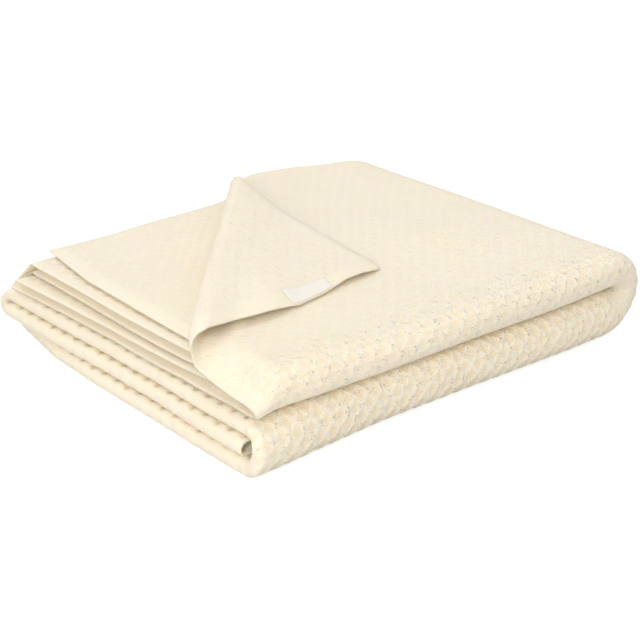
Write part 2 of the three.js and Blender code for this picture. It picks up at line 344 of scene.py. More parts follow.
    def thirds(self, across: Array, off: Array) -> tuple[Array, ...]:
        """Folds the width in three.

        Args:
            across: steps across the sheet.
            off: millimetres from the middle of the double layer.

        Returns:
            The stretch, the part of it, the depth, the level in the bundle and how far it hangs.
        """
        k, f = self.across.split(across)
        p = self.pitch
        front_out, front_up = self.turn(f, self.front_power)
        back_out, back_up = self.turn(f, self.back_power)
        y = np.choose(
            k,
            [
                mix(self.back_hem_y, self.front_roll_y, f),
                self.front_roll_y - (2 * p + off) * front_out,
                mix(self.front_roll_y, self.back_roll_y, f),
                self.back_roll_y + (p + off) * back_out,
                mix(self.back_roll_y, self.inner_hem_y, f),
            ],
        )
        level = np.choose(
            k,
            [2 * p + off, (2 * p + off) * front_up, -2 * p - off, -p - (p + off) * back_up, off],
        )
        hangs = np.choose(k, [np.ones_like(f), (1 + front_up) / 2, 0 * f, 0 * f, 0 * f])
        return k, f, y, level, hangs

    def left_end(self, table: Table, y: Array, k: Array, f: Array, layer: str) -> Array:
        """Reads where a layer ends on the left, blended round the rolls between two thirds.

        Args:
            table: where the layers end, by depth.
            y: the depth.
            k: the stretch across the sheet.
            f: the part of that stretch.
            layer: the last part of the column's name.

        Returns:
            The place of the end along the front.
        """
        first = np.choose(k, [table.at(name + layer, y) for name in self.thirds_from])
        second = np.choose(k, [table.at(name + layer, y) for name in self.thirds_to])
        return mix(first, second, smooth(f))

    def margin(self, x: Array, y: Array) -> Array:
        """Lets the top layer's left margin hang over the ends below it.

        Args:
            x: place along the front.
            y: place in depth.

        Returns:
            How far it hangs.
        """
        over = smooth((self.margin_from_x - x) / self.margin_wide)
        ended = smooth((y - self.margin_end[0]) / self.margin_end[1])
        return self.margin_drop * over * (1 - ended)

    def folded(self, along: Array, across: Array, side: Array) -> tuple[Array, Array]:
        """Folds the sheet, before its corner is turned back.

        Args:
            along: steps along the sheet.
            across: steps across it.
            side: millimetres from its middle, towards the right side of the knit.

        Returns:
            Points in the stack's own frame, and where they are on its top layer.
        """
        a, f = self.along.split(along)
        inner = self.along.named(a, "lowerInner", "bendInner", "upperInner")
        crease = self.along.named(a, "crease")
        half = self.pitch / 2 + side
        off = np.where(inner, -half, half)
        off = np.where(crease, half * np.cos(f * math.pi), off)
        reach = np.where(crease, half * np.sin(f * math.pi), 0.0)
        k, g, y, level, hangs = self.thirds(across, off)
        upper = np.where(
            inner,
            self.left_end(self.upper_left, y, k, g, "Inner"),
            self.left_end(self.upper_left, y, k, g, "Outer"),
        )
        lower = self.pitch + self.left_end(self.lower_left, y, k, g, "")
        r = self.stack_r + level
        back = np.where(self.along.named(a, "upperInner", "bendInner"), 1 - f, f)
        out, up = self.turn(back, self.bend_power)
        bend = self.bend_x + r * out + self.bend_push * (1 - r / (2 * self.stack_r)) * out
        down = np.where(self.along.named(a, "lowerOuter"), f, 1 - f)
        x = np.choose(
            a,
            [
                mix(upper, self.bend_x, back),
                bend,
                mix(self.bend_x, lower, down),
                lower - reach,
                mix(self.bend_x, lower, down),
                bend,
                mix(upper, self.bend_x, back),
            ],
        )
        z = np.choose(a, [r, r * up, -r, -r, -r, r * up, r])
        outer_top = self.along.named(a, "upperOuter")
        z = z - np.where(outer_top, hangs * self.margin(x, y), 0.0)
        upper_half = self.along.named(a, "upperOuter", "upperInner")
        pinched = self.across.named(k, "backRoll") & upper_half
        pinch = self.roll_pinch * smooth((self.roll_pinch_x - x) / self.roll_pinch_x)
        y = y - np.where(pinched, pinch * (y - self.back_roll_y), 0.0)
        return np.stack([x, y, z], -1), outer_top & self.across.named(k, "topThird")

    def bow(self, on: Array) -> Array:
        """How far the line that the corner rolls over bows out, most a third of the way along."""
        part = clamp01(on / self.flap_line)
        return self.flap_bow * self.bow_scale * part * (1 - part) ** 2

    def wrinkle(self, part: Array, out: Array) -> Array:
        """Raises soft wrinkles beside the line that the corner rolls over.

        Args:
            part: place along the line, from 0 to 1.
            out: millimetres from the line, negative on the side that stays down.

        Returns:
            The height of the wrinkles in millimetres.
        """
        total = np.zeros_like(out)
        for _, at, wide, high, first, last in self.wrinkles.rows:
            begun = smooth((part - first) / self.wrinkle_end)
            ended = smooth((part - last) / self.wrinkle_end)
            total += high * begun * (1 - ended) * np.exp(-(((out - at) / wide) ** 2))
        return total * smooth(-out / self.wrinkles.rows[0][2])

    def turned(self, x: Array, y: Array, hem: Array, side: Array) -> Array:
        """Rolls the top layer's corner over its line and lets it come down.

        Args:
            x: place along the front.
            y: place in depth.
            hem: millimetres from the left hem.
            side: millimetres from the cloth's middle.

        Returns:
            The new x and y, and the height above the top layer's middle.
        """
        dx, dy = x - self.flap_left[0], y - self.flap_left[1]
        on = dx * self.flap_dir[0] + dy * self.flap_dir[1]
        out = dx * self.flap_out[0] + dy * self.flap_out[1] - self.bow(on)
        near = smooth(1 + out / self.flap_lead_wide)
        rise = self.flap_lead_high * clamp01(on / self.flap_line) * near
        rise = rise + self.wrinkle(on / self.flap_line, out)
        skewed = on - self.flap_skew * out
        back = clamp01(skewed / self.flap_line)
        high, wide = mix(*self.flap_high, back), mix(*self.flap_wide, back)
        arc = math.pi * (high + wide) / 2
        angle = clamp01(out / arc) * math.pi
        past = np.maximum(out - arc, 0.0)
        rolling = out < arc
        reach = np.where(rolling, (wide - side) * np.sin(angle), -past)
        settle = clamp01(past / mix(*self.flap_settle, back))
        between = clamp01(past / np.maximum(self.flap_corner_out - arc, 1.0))
        high_left = (1 - settle) ** self.flap_settle_power
        at_lip = 1 - smooth(hem / self.lip_high_deep)
        high_left = mix(high_left, self.lip.at("high", between), at_lip)
        down = mix(self.pitch + self.flap_lift, 2 * high, high_left) - side
        lift = np.where(rolling, high - (high - side) * np.cos(angle), down)
        bulge = self.lip.at("bulge", between) * (1 - smooth(hem / self.lip_deep))
        bulge = bulge * clamp01(out / arc)
        reach = reach + self.bow(skewed)
        lift = lift + rise * (1 - smooth((out - arc) / self.flap_lead_past))
        flat = out <= 0
        at = np.stack(
            [
                self.flap_left[0] + self.flap_dir[0] * skewed + self.flap_out[0] * reach,
                self.flap_left[1] + self.flap_dir[1] * skewed + self.flap_out[1] * reach - bulge,
                lift,
            ],
            -1,
        )
        return np.where(flat[:, None], np.stack([x, y, side + rise], -1), at)

    def settled(self, points: Array) -> Array:
        """Makes the stack a little uneven and brings it into the frame.

        Args:
            points: from folded() and turned(), in millimetres.

        Returns:
            Points in the frame, in metres.
        """
        x, y, z = points.T
        high = smooth(0.5 + z / self.half_height)
        push = mix(self.back_push.at("low", x), self.back_push.at("high", x), high)
        ahead = mix(self.front_push.at("low", x), self.front_push.at("high", x), high)
        swell = np.ones_like(x)
        for part, long_x, long_y, at_x, at_y in self.height_waves:
            wave_x = np.cos(2 * math.pi * (x - at_x) / long_x)
            swell += part * wave_x * np.cos(2 * math.pi * (y - at_y) / long_y)
        in_front = 1 - smooth(y / self.front_sag_deep)
        swell -= self.front_sag * in_front
        rise = mix(
            self.gap_rise[0] * in_front,
            self.gap_rise[1],
            smooth((x - self.gap_rise_x[0]) / self.gap_rise_x[1]),
        )
        long, wide = self.back_left_reach
        at_corner = (1 - smooth(x / long)) * smooth(1 + (y - self.back_hem_y) / wide)
        middle = 1 - clamp01(np.abs(z) / self.half_height) ** 2
        z = z + (rise + self.back_left_rise * at_corner) * middle
        push = push + self.back_left_push * at_corner * middle
        deep = clamp01(y / self.back_hem_y)
        y = y + push * deep + ahead * (1 - deep) - self.centre_y
        return MM * np.stack([x - self.centre_x, y, (z + self.half_height) * swell], -1)

    def point(self, u: Array, v: Array, side: Array) -> Array:
        """Finds where the cloth lies.

        Args:
            u: flat millimetres along the sheet.
            v: flat millimetres across it.
            side: millimetres from its middle, towards the right side of the knit.

        Returns:
            Points in the frame, in metres.
        """
        along, across = self.to_steps(u, v)
        side = np.broadcast_to(np.asarray(side, float), along.shape)
        points, top = self.folded(along, across, side)
        middle, _ = self.folded(along, across, np.zeros_like(side))
        turned = self.turned(middle[:, 0], middle[:, 1], along * self.top_step_x, side)
        turned[:, 2] += middle[:, 2]
        return self.settled(np.where(top[:, None], turned, points))


# The sheet's squares


@dataclass
class GradedSquares:
    """Squares over the flat sheet, halved again and again where more detail is wanted."""

    count_u: int
    count_v: int
    levels: int = 4

    def grade(self, wanted: Array) -> Array:
        """Finds the size of each square so that neighbours differ by one halving at most.

        Args:
            wanted: the least number of halvings at each of the smallest squares.

        Returns:
            The number of halvings of the square that covers each of the smallest ones.
        """
        wanted = wanted.copy()
        while True:
            level = np.full_like(wanted, self.levels)
            for k in range(self.levels - 1, -1, -1):
                size = 2 ** (self.levels - k)
                blocks = wanted.reshape(self.count_u // size, size, self.count_v // size, size)
                most = blocks.max(axis=(1, 3))
                spread = np.repeat(np.repeat(most, size, 0), size, 1)
                level = np.where(spread <= k, k, level)
            padded = np.pad(level, 1, mode="edge")
            around = np.max(
                [padded[2:, 1:-1], padded[:-2, 1:-1], padded[1:-1, 2:], padded[1:-1, :-2]], axis=0
            )
            if (around - 1 <= level).all():
                return level
            wanted = np.maximum(level, around - 1)

    def polygons(self, level: Array) -> list[Array]:
        """Lists the squares, and fans where a neighbour is finer.

        Args:
            level: from grade().

        Returns:
            Arrays of corner numbers, where corner (i, j) is i * (count_v + 1) + j.
        """
        made: list[Array] = []
        padded = np.pad(level, 1, mode="edge")
        row = self.count_v + 1
        for k in range(self.levels + 1):
            size = 2 ** (self.levels - k)
            i, j = np.nonzero(level[::size, ::size] == k)
            i, j = i * size, j * size
            a, b = i * row + j, (i + size) * row + j
            c, d = (i + size) * row + j + size, i * row + j + size
            half = size // 2
            middle = (i + half) * row + j + half
            finer = (
                padded[i + 1, j] > k,
                padded[i + size + 1, j + 1] > k,
                padded[i + 1, j + size + 1] > k,
                padded[i, j + 1] > k,
            )
            halves = (
                (i + half) * row + j,
                (i + size) * row + j + half,
                (i + half) * row + j + size,
                i * row + j + half,
            )
            plain = ~np.any(finer, axis=0)
            made.append(np.stack([a, b, c, d], -1)[plain])
            ends = ((a, b), (b, c), (c, d), (d, a))
            for (start, stop), fine, mid in zip(ends, finer, halves):
                whole, split = ~plain & ~fine, ~plain & fine
                made.append(np.stack([start, stop, middle], -1)[whole])
                made.append(np.stack([start, mid, middle], -1)[split])
                made.append(np.stack([mid, stop, middle], -1)[split])
        return made

    def border(self) -> Array:
        """Walks once round the sheet, with the sheet on the left.

        Returns:
            The numbers of the corners passed.
        """
        row = self.count_v + 1
        i, j = np.arange(self.count_u), np.arange(self.count_v)
        return np.concatenate(
            [
                i * row,
                self.count_u * row + j,
                (self.count_u - i) * row + self.count_v,
                self.count_v - j,
            ]
        )


# Node trees


class NodePen:
    """Writes the nodes of one tree."""

    def __init__(self, tree: bpy.types.NodeTree) -> None:
        """Starts on a tree."""
        self.tree = tree

    def add(self, kind: str, **settings: object) -> bpy.types.Node:
        """Adds a node.

        Args:
            kind: the node's type.
            settings: what its properties are set to.

        Returns:
            The node.
        """
        node = self.tree.nodes.new(kind)
        for name, value in settings.items():
            setattr(node, name, value)
        return node

    def feed(self, socket: bpy.types.NodeSocket, value: object) -> None:
        """Links a socket to another, or sets its value.

        Args:
            socket: the input.
            value: another node's output, or a plain value.
        """
        if isinstance(value, bpy.types.NodeSocket):
            self.tree.links.new(value, socket)
        else:
            socket.default_value = value

    def feed_all(self, node: bpy.types.Node, values: dict[str, object]) -> None:
        """Feeds a node's named inputs."""
        for name, value in values.items():
            self.feed(node.inputs[name], value)

    def calc(self, operation: str, *values: object, clamp: bool = False) -> bpy.types.NodeSocket:
        """Adds one step of arithmetic.

        Args:
            operation: what the Math node does.
            values: its inputs, as sockets or numbers.
            clamp: keeps the result between 0 and 1.

        Returns:
            The result's socket.
        """
        node = self.add("ShaderNodeMath", operation=operation, use_clamp=clamp)
        for socket, value in zip(node.inputs, values):
            self.feed(socket, value)
        return node.outputs[0]

    def times(self, first: object, *others: object) -> bpy.types.NodeSocket:
        """Multiplies values one after the other.

        Args:
            first: a socket or number.
            others: what it is multiplied by.

        Returns:
            The result's socket.
        """
        for other in others:
            first = self.calc("MULTIPLY", first, other)
        return first

    def without(self, value: object) -> bpy.types.NodeSocket:
        """Is 1 where the value is 0, and 0 where it is 1."""
        return self.calc("SUBTRACT", 1.0, value)

    def summed(
        self,
        parts: dict[str, object],
        strengths: tuple[tuple[str, float], ...],
        base: float = 0.0,
        clamp: bool = False,
    ) -> bpy.types.NodeSocket:
        """Adds up named parts, each times its strength.

        Args:
            parts: the parts' sockets.
            strengths: name and strength of each part that counts.
            base: what is added at the end.
            clamp: keeps the result between 0 and 1.

        Returns:
            The result's socket.
        """
        total: object = 0.0
        for name, strength in strengths:
            total = self.calc("MULTIPLY_ADD", parts[name], strength, total)
        return self.calc("ADD", total, base, clamp=clamp)

    def ramp(self, value: object, low: float, high: float) -> bpy.types.NodeSocket:
        """Eases from 0 at low to 1 at high."""
        node = self.add("ShaderNodeMapRange", interpolation_type="SMOOTHSTEP")
        self.feed_all(node, {"Value": value, "From Min": low, "From Max": high})
        return node.outputs["Result"]

    def noise(self, place: object, scale: object, **settings: object) -> bpy.types.Node:
        """Adds a noise of one scale over a place."""
        node = self.add("ShaderNodeTexNoise", **settings)
        self.feed_all(node, {"Vector": place, "Scale": scale})
        return node

    def split(self, vector: object) -> tuple[bpy.types.NodeSocket, ...]:
        """Takes a vector apart into its three numbers."""
        node = self.add("ShaderNodeSeparateXYZ")
        self.feed(node.inputs[0], vector)
        return tuple(node.outputs)

    def named(self, name: str, kind: str = "FLOAT") -> bpy.types.NodeSocket:
        """Reads one of the mesh's attributes in a Geometry Nodes tree."""
        node = self.add("GeometryNodeInputNamedAttribute", data_type=kind)
        node.inputs["Name"].default_value = name
        return node.outputs["Attribute"]

    def shaded(self, name: str, output: str = "Fac") -> bpy.types.NodeSocket:
        """Reads one of the mesh's attributes in a material."""
        return self.add("ShaderNodeAttribute", attribute_name=name).outputs[output]

    def blend(self, share: object, first: object, second: object) -> bpy.types.NodeSocket:
        """Goes from the first colour to the second as share goes from 0 to 1."""
        node = self.add("ShaderNodeMix", data_type="RGBA")
        self.feed_all(node, {"Factor": share, "A": first, "B": second})
        return node.outputs["Result"]

    def bump(self, height: object, strength: float, distance: float) -> bpy.types.NodeSocket:
        """Bends the surface's normal by a fine height."""
        node = self.add("ShaderNodeBump")
        self.feed_all(node, {"Strength": strength, "Distance": distance, "Height": height})
        return node.outputs["Normal"]

    def group_ends(
        self, inputs: dict[str, object], *outputs: str, kind: str = "NodeSocketFloat"
    ) -> tuple[bpy.types.Node, bpy.types.Node]:
        """Makes a group's sockets and its two end nodes.

        Args:
            inputs: socket name to its usual number, or to its type where it isn't a number.
            outputs: socket names.
            kind: the outputs' type.

        Returns:
            The input node and the output node.
        """
        face = self.tree.interface
        for name, value in inputs.items():
            typed = value if isinstance(value, str) else "NodeSocketFloat"
            socket = face.new_socket(name, in_out="INPUT", socket_type=typed)
            if typed is not value:
                socket.default_value = value
        for name in outputs:
            face.new_socket(name, in_out="OUTPUT", socket_type=kind)
        return self.add("NodeGroupInput"), self.add("NodeGroupOutput")


@dataclass(frozen=True)
class KnitLattice:
    """The knit's hollows, which lie like bricks: each row is half a cell along from the last."""

    cell_long: float = 0.0132
    cell_wide: float = 0.0143
    ridge: tuple[float, float] = (-0.04, 0.44)
    net_rise: float = 0.4
    puff_rise: float = 0.6
    puff_deep: float = 0.45
    notch_deep: float = 1.5
    notch_round: tuple[float, float] = (0.03, 0.3)
    notch_out: tuple[float, float] = (0.12, 0.42)
    right_deep: float = 0.00115
    wrong_deep: float = 0.0005
    hem: float = 0.010
    eyelet: float = 0.0007
    eyelet_apart: float = 0.0018
    warp: float = 0.006
    warp_scale: float = 45.0
    hem_ends: tuple[float, float] = (0.7, 1.3)
    uneven: tuple[float, float] = (0.6, 0.8)
    uneven_scale: float = 28.0
    wrong_rise: float = 0.6
    seed: float = 3.0

    def place(self, pen: NodePen, cloth: object) -> tuple[bpy.types.NodeSocket, ...]:
        """Pulls the flat place about a little, so that no two cells are quite the same.

        Args:
            pen: the tree's pen.
            cloth: the flat place along and across the sheet, and its face.

        Returns:
            The pulled place along and across, and the face.
        """
        pulls = pen.split(pen.noise(cloth, self.warp_scale).outputs["Color"])
        parts = pen.split(cloth)
        moved = [
            pen.calc("MULTIPLY_ADD", pen.calc("SUBTRACT", pull, 0.5), self.warp, part)
            for pull, part in zip(pulls[:2], parts[:2])
        ]
        return moved[0], moved[1], parts[2]

    def diagonals(
        self, pen: NodePen, u: object, v: object, long: object, wide: object
    ) -> tuple[bpy.types.NodeSocket, bpy.types.NodeSocket]:
        """Counts cells along the two slanting directions."""
        s, t = pen.calc("DIVIDE", u, long), pen.calc("DIVIDE", v, wide)
        return pen.calc("ADD", s, t), pen.calc("SUBTRACT", s, t)

    def hollow(self, pen: NodePen, a: object, b: object) -> bpy.types.NodeSocket:
        """Is 1 over each smooth hollow and 0 along the narrow ridges between them."""
        return pen.times(*(pen.ramp(pen.calc("PINGPONG", x, 0.5), *self.ridge) for x in (a, b)))

    def notch(self, pen: NodePen, a: object, b: object) -> bpy.types.NodeSocket:
        """Pinches the cloth along both sides of a round fold.

        Args:
            pen: the tree's pen.
            a: cells along one slanting direction.
            b: cells along the other.

        Returns:
            1 at the pinched places, and 0 on the fold's middle.
        """
        near = [pen.ramp(pen.calc("PINGPONG", x, 0.5), *self.notch_round) for x in (a, b)]
        away = pen.calc("ABSOLUTE", pen.calc("MULTIPLY", pen.calc("ADD", a, b), 0.5))
        pinched = pen.times(*(pen.without(x) for x in near))
        return pen.times(pinched, pen.ramp(away, *self.notch_out))

    def height(
        self, pen: NodePen, cloth: object, given: bpy.types.NodeOutputs
    ) -> bpy.types.NodeSocket:
        """Works out how far the knit stands out or is sunk.

        Args:
            pen: the tree's pen.
            cloth: the flat place along and across the sheet, and its face.
            given: the tree's inputs.

        Returns:
            The height in metres, before the hems and the pressed places are taken off.
        """
        u, v, face = self.place(pen, cloth)
        a, b = self.diagonals(pen, u, v, given["Cell Long"], given["Cell Wide"])
        hollow = self.hollow(pen, a, b)
        net = pen.calc("SUBTRACT", self.net_rise, hollow)
        puff = pen.calc("MULTIPLY_ADD", self.notch(pen, a, b), -self.notch_deep, self.puff_rise)
        puff = pen.calc("MULTIPLY_ADD", pen.calc("SUBTRACT", hollow, 1.0), self.puff_deep, puff)
        swap = pen.times(pen.named("puffed"), pen.calc("SUBTRACT", puff, net))
        right = pen.times(given["Right Side Depth"], pen.calc("ADD", net, swap))
        sunk = pen.calc("SUBTRACT", hollow, self.wrong_rise)
        wrong = pen.times(given["Wrong Side Depth"], sunk)
        is_right = pen.calc("GREATER_THAN", face, 0.0)
        return pen.calc(
            "ADD", pen.times(right, is_right), pen.times(wrong, pen.without(is_right))
        )

    def relief_tree(self) -> bpy.types.GeometryNodeTree:
        """Builds the Geometry Nodes tree that raises the ridges and sinks the hollows.

        Returns:
            The tree.
        """
        tree = bpy.data.node_groups.new("Knit relief", "GeometryNodeTree")
        pen = NodePen(tree)
        start, end = pen.group_ends(
            {
                "Sheet": "NodeSocketGeometry",
                "Cell Long": self.cell_long,
                "Cell Wide": self.cell_wide,
                "Right Side Depth": self.right_deep,
                "Wrong Side Depth": self.wrong_deep,
                "Hem": self.hem,
                "Seed": self.seed,
                "Material": "NodeSocketMaterial",
            },
            "Sheet",
            kind="NodeSocketGeometry",
        )
        given = start.outputs
        cloth = pen.named("cloth", "FLOAT_VECTOR")
        noise = pen.noise(cloth, self.uneven_scale, noise_dimensions="4D")
        pen.feed(noise.inputs["W"], given["Seed"])
        least, more = self.uneven
        uneven = pen.calc("ADD", least, pen.times(noise.outputs[0], more))
        inside = pen.ramp(pen.calc("DIVIDE", pen.named("edge"), given["Hem"]), *self.hem_ends)
        masks = (uneven, inside, pen.named("shows"), pen.named("relief"))
        move = pen.add("ShaderNodeVectorMath", operation="SCALE")
        pen.feed(move.inputs[0], pen.named("lift", "FLOAT_VECTOR"))
        pen.feed(move.inputs["Scale"], pen.times(self.height(pen, cloth, given), *masks))
        place = pen.add("GeometryNodeSetPosition")
        pen.feed_all(place, {"Geometry": given["Sheet"], "Offset": move.outputs[0]})
        real = pen.add("GeometryNodeRealizeInstances")
        pen.feed(real.inputs[0], place.outputs[0])
        dress = pen.add("GeometryNodeSetMaterial")
        pen.feed_all(dress, {"Geometry": real.outputs[0], "Material": given["Material"]})
        pen.feed(end.inputs[0], dress.outputs[0])
        return tree


def run_tree(
    made: bpy.types.Object, tree: bpy.types.GeometryNodeTree, values: dict[str, object]
) -> bpy.types.Object:
    """Runs a Geometry Nodes tree on an object and keeps the result as its plain mesh.

    Args:
        made: the object that the tree works on.
        tree: the tree.
        values: what its named inputs are set to.

    Returns:
        The same object, with no modifier left.
    """
    modifier = made.modifiers.new("made", "NODES")
    modifier.node_group = tree
    for item in tree.interface.items_tree:
        if item.item_type == "SOCKET" and item.in_out == "INPUT" and item.name in values:
            modifier[item.identifier] = values[item.name]
    made.update_tag()
    depsgraph = bpy.context.evaluated_depsgraph_get()
    mesh = bpy.data.meshes.new_from_object(made.evaluated_get(depsgraph))
    made.modifiers.remove(modifier)
    old, made.data = made.data, mesh
    bpy.data.meshes.remove(old)
    mesh.name = made.name
    return made


# Finishes


def yarn_fuzz_group() -> bpy.types.ShaderNodeTree:
    """Builds the group for soft fibres: a small change of tone and a fine height.

    Returns:
        The group.
    """
    tree = bpy.data.node_groups.new("Yarn fuzz", "ShaderNodeTree")
    pen = NodePen(tree)
    start, end = pen.group_ends(
        {"Place": "NodeSocketVector", "Fibre Scale": 2600.0, "Cloud Scale": 22.0}, "Fibre", "Cloud"
    )
    for scale, detail, out in (("Fibre Scale", 3.0, "Fibre"), ("Cloud Scale", 2.0, "Cloud")):
        noise = pen.noise(start.outputs["Place"], start.outputs[scale])
        pen.feed(noise.inputs["Detail"], detail)
        pen.feed(end.inputs[out], noise.outputs[0])
    return tree


@dataclass(frozen=True)
class KnitFinish:
    """Cream cotton knit: hollows, eyelets, stitches and a soft fuzz, with painted shade in its
    hollows, notches, dashes and holes, and painted highlights on its ridges and knots.
    """

    lattice: KnitLattice
    yarn: tuple[float, float, float] = (0.97, 0.885, 0.73)
    # The deep colour is the ochre that painted shade leans to in hollows, notches and dashes; the
    # yarn's own cloud, fibre and stitch tone also sways towards it.
    deep: tuple[float, float, float] = (0.81, 0.68, 0.41)
    stitch_long: float = 0.0024
    stitch_wide: float = 0.0018
    # The next colour is painted shade, put inside the pinholes and eyelets.
    hole_shade: tuple[float, float, float] = (0.56, 0.46, 0.27)
    speck_scale: float = 560.0
    cluster_scale: float = 110.0
    ridge_line: tuple[float, float] = (0.02, 0.24)
    speck_in_cell: tuple[float, float] = (0.14, 0.36)
    speck_chance: tuple[float, float] = (0.3, 0.56)
    pin_noise: tuple[float, float] = (0.57, 0.67)
    knot_noise: tuple[float, float] = (0.42, 0.34)
    dash_line: tuple[float, float] = (0.03, 0.1)
    dash_middle: tuple[float, float] = (0.14, 0.3)
    eyelet_round: tuple[float, float] = (0.45, 1.15)
    eyelet_chance: tuple[float, float] = (0.4, 0.62)
    shown_from: tuple[float, float] = (0.0, 0.6)
    fold_smooth: float = 0.85
    shade: float = 0.08
    # How far each mark moves the colour towards the deep ochre. Hollow, Notches and Dashes are
    # painted shade in the hollows, the pinched crevices and the shadows under the ridges; Ridge
    # and Knots, with negative strengths, are painted highlights; Cloud, Fibre and Stitch are the
    # yarn's own tone.
    shades: tuple[tuple[str, float], ...] = (
        ("Hollow", 0.34),
        ("Ridge", -0.12),
        ("Notches", 0.7),
        ("Dashes", 0.25),
        ("Knots", -0.3),
        ("Cloud", 0.16),
        ("Fibre", 0.1),
        ("Stitch", -0.12),
    )
    # How strongly painted shade darkens the pinholes and eyelets.
    holes: tuple[tuple[str, float], ...] = (("Pins", 0.65), ("Eyelets", 0.28))
    heights: tuple[tuple[str, float], ...] = (
        ("Ridge", 0.14),
        ("Knots", 0.4),
        ("Stitch", 0.22),
        ("Fibre", 0.12),
        ("Eyelets", -0.9),
        ("Pins", -0.5),
        ("Dashes", -0.3),
    )
    rough: float = 0.95
    shine: float = 0.15
    sheen: tuple[float, float] = (0.1, 0.6)
    scatter: float = 0.4
    scatter_reach: tuple[float, float, float] = (1.0, 0.7, 0.35)
    scatter_scale: float = 0.003

    def eyelet(
        self, pen: NodePen, near: list[bpy.types.NodeSocket], given: bpy.types.NodeOutputs
    ) -> bpy.types.NodeSocket:
        """Draws two small round holes side by side in the middle of each cell.

        Args:
            pen: the group's pen.
            near: the way to the nearest cell's middle, in the two slanting directions.
            given: the group's inputs.

        Returns:
            1 in the holes and 0 outside them.
        """
        du = pen.times(pen.calc("ADD", *near), 0.5, given["Cell Long"])
        dv = pen.times(pen.calc("SUBTRACT", *near), 0.5, given["Cell Wide"])
        du = pen.calc("SUBTRACT", pen.calc("ABSOLUTE", du), given["Eyelets Apart"])
        squares = (pen.calc("POWER", d, 2.0) for d in (du, dv))
        away = pen.calc("DIVIDE", pen.calc("SQRT", pen.calc("ADD", *squares)), given["Eyelet"])
        return pen.without(pen.ramp(away, *self.eyelet_round))

    def lattice_group(self) -> bpy.types.ShaderNodeTree:
        """Builds the group for hollows, ridges and eyelets over the flat sheet.

        Returns:
            The group.
        """
        tree = bpy.data.node_groups.new("Knit lattice", "ShaderNodeTree")
        pen = NodePen(tree)
        inputs = {
            "Along": 0.0,
            "Across": 0.0,
            "Cell Long": self.lattice.cell_long,
            "Cell Wide": self.lattice.cell_wide,
            "Eyelet": self.lattice.eyelet,
            "Eyelets Apart": self.lattice.eyelet_apart,
            "Speck Scale": self.speck_scale,
        }
        outputs = ("Hollow", "Ridge", "Eyelets", "Pins", "Knots", "Dashes", "Notches")
        start, end = pen.group_ends(inputs, *outputs)
        given = start.outputs
        u, v = given["Along"], given["Across"]
        a, b = self.lattice.diagonals(pen, u, v, given["Cell Long"], given["Cell Wide"])
        near = [pen.calc("SUBTRACT", x, pen.calc("ROUND", x)) for x in (a, b)]
        lines = [pen.calc("ABSOLUTE", x) for x in near]
        flat = pen.add("ShaderNodeCombineXYZ")
        pen.feed(flat.inputs[0], u)
        pen.feed(flat.inputs[1], v)
        chance, fine = (
            pen.noise(flat.outputs[0], scale, noise_dimensions="2D").outputs[0]
            for scale in (self.cluster_scale, given["Speck Scale"])
        )
        # Specks inside each cell: Pins are tiny holes that get painted shade, Knots small knots
        # that get a painted highlight.
        in_cell = pen.without(pen.ramp(pen.calc("MAXIMUM", *lines), *self.speck_in_cell))
        beside = pen.times(in_cell, pen.ramp(chance, *self.speck_chance))
        # Dashes run along one set of ridge lines; the material paints each ridge's shadow into
        # them.
        dash = pen.without(pen.ramp(lines[1], *self.dash_line))
        middle = pen.ramp(pen.calc("PINGPONG", a, 0.5), *self.dash_middle)
        eyelet = self.eyelet(pen, near, given)
        made = {
            "Hollow": self.lattice.hollow(pen, a, b),
            "Ridge": pen.without(pen.ramp(pen.calc("MINIMUM", *lines), *self.ridge_line)),
            "Eyelets": pen.times(eyelet, pen.ramp(chance, *self.eyelet_chance)),
            "Pins": pen.times(pen.ramp(fine, *self.pin_noise), beside),
            "Knots": pen.times(pen.ramp(fine, *self.knot_noise), beside),
            "Dashes": pen.times(dash, middle),
            "Notches": self.lattice.notch(pen, a, b),
        }
        pen.feed_all(end, made)
        return tree

    def stitch_group(self) -> bpy.types.ShaderNodeTree:
        """Builds the group for the small V shapes of single stitches.

        Returns:
            The group.
        """
        tree = bpy.data.node_groups.new("Knit stitches", "ShaderNodeTree")
        pen = NodePen(tree)
        inputs = {
            "Along": 0.0,
            "Across": 0.0,
            "Stitch Long": self.stitch_long,
            "Stitch Wide": self.stitch_wide,
        }
        start, end = pen.group_ends(inputs, "Height")
        s = pen.calc("DIVIDE", start.outputs["Along"], start.outputs["Stitch Long"])
        t = pen.calc("DIVIDE", start.outputs["Across"], start.outputs["Stitch Wide"])
        slant = pen.calc("PINGPONG", s, 0.5)
        leg = pen.calc("SINE", pen.times(pen.calc("ADD", t, slant), 2 * math.pi))
        leg = pen.calc("MULTIPLY_ADD", leg, 0.5, 0.5)
        groove = pen.calc("ABSOLUTE", pen.calc("SINE", pen.times(s, 2 * math.pi)))
        pen.feed(end.inputs["Height"], pen.times(leg, pen.calc("POWER", groove, 0.5)))
        return tree

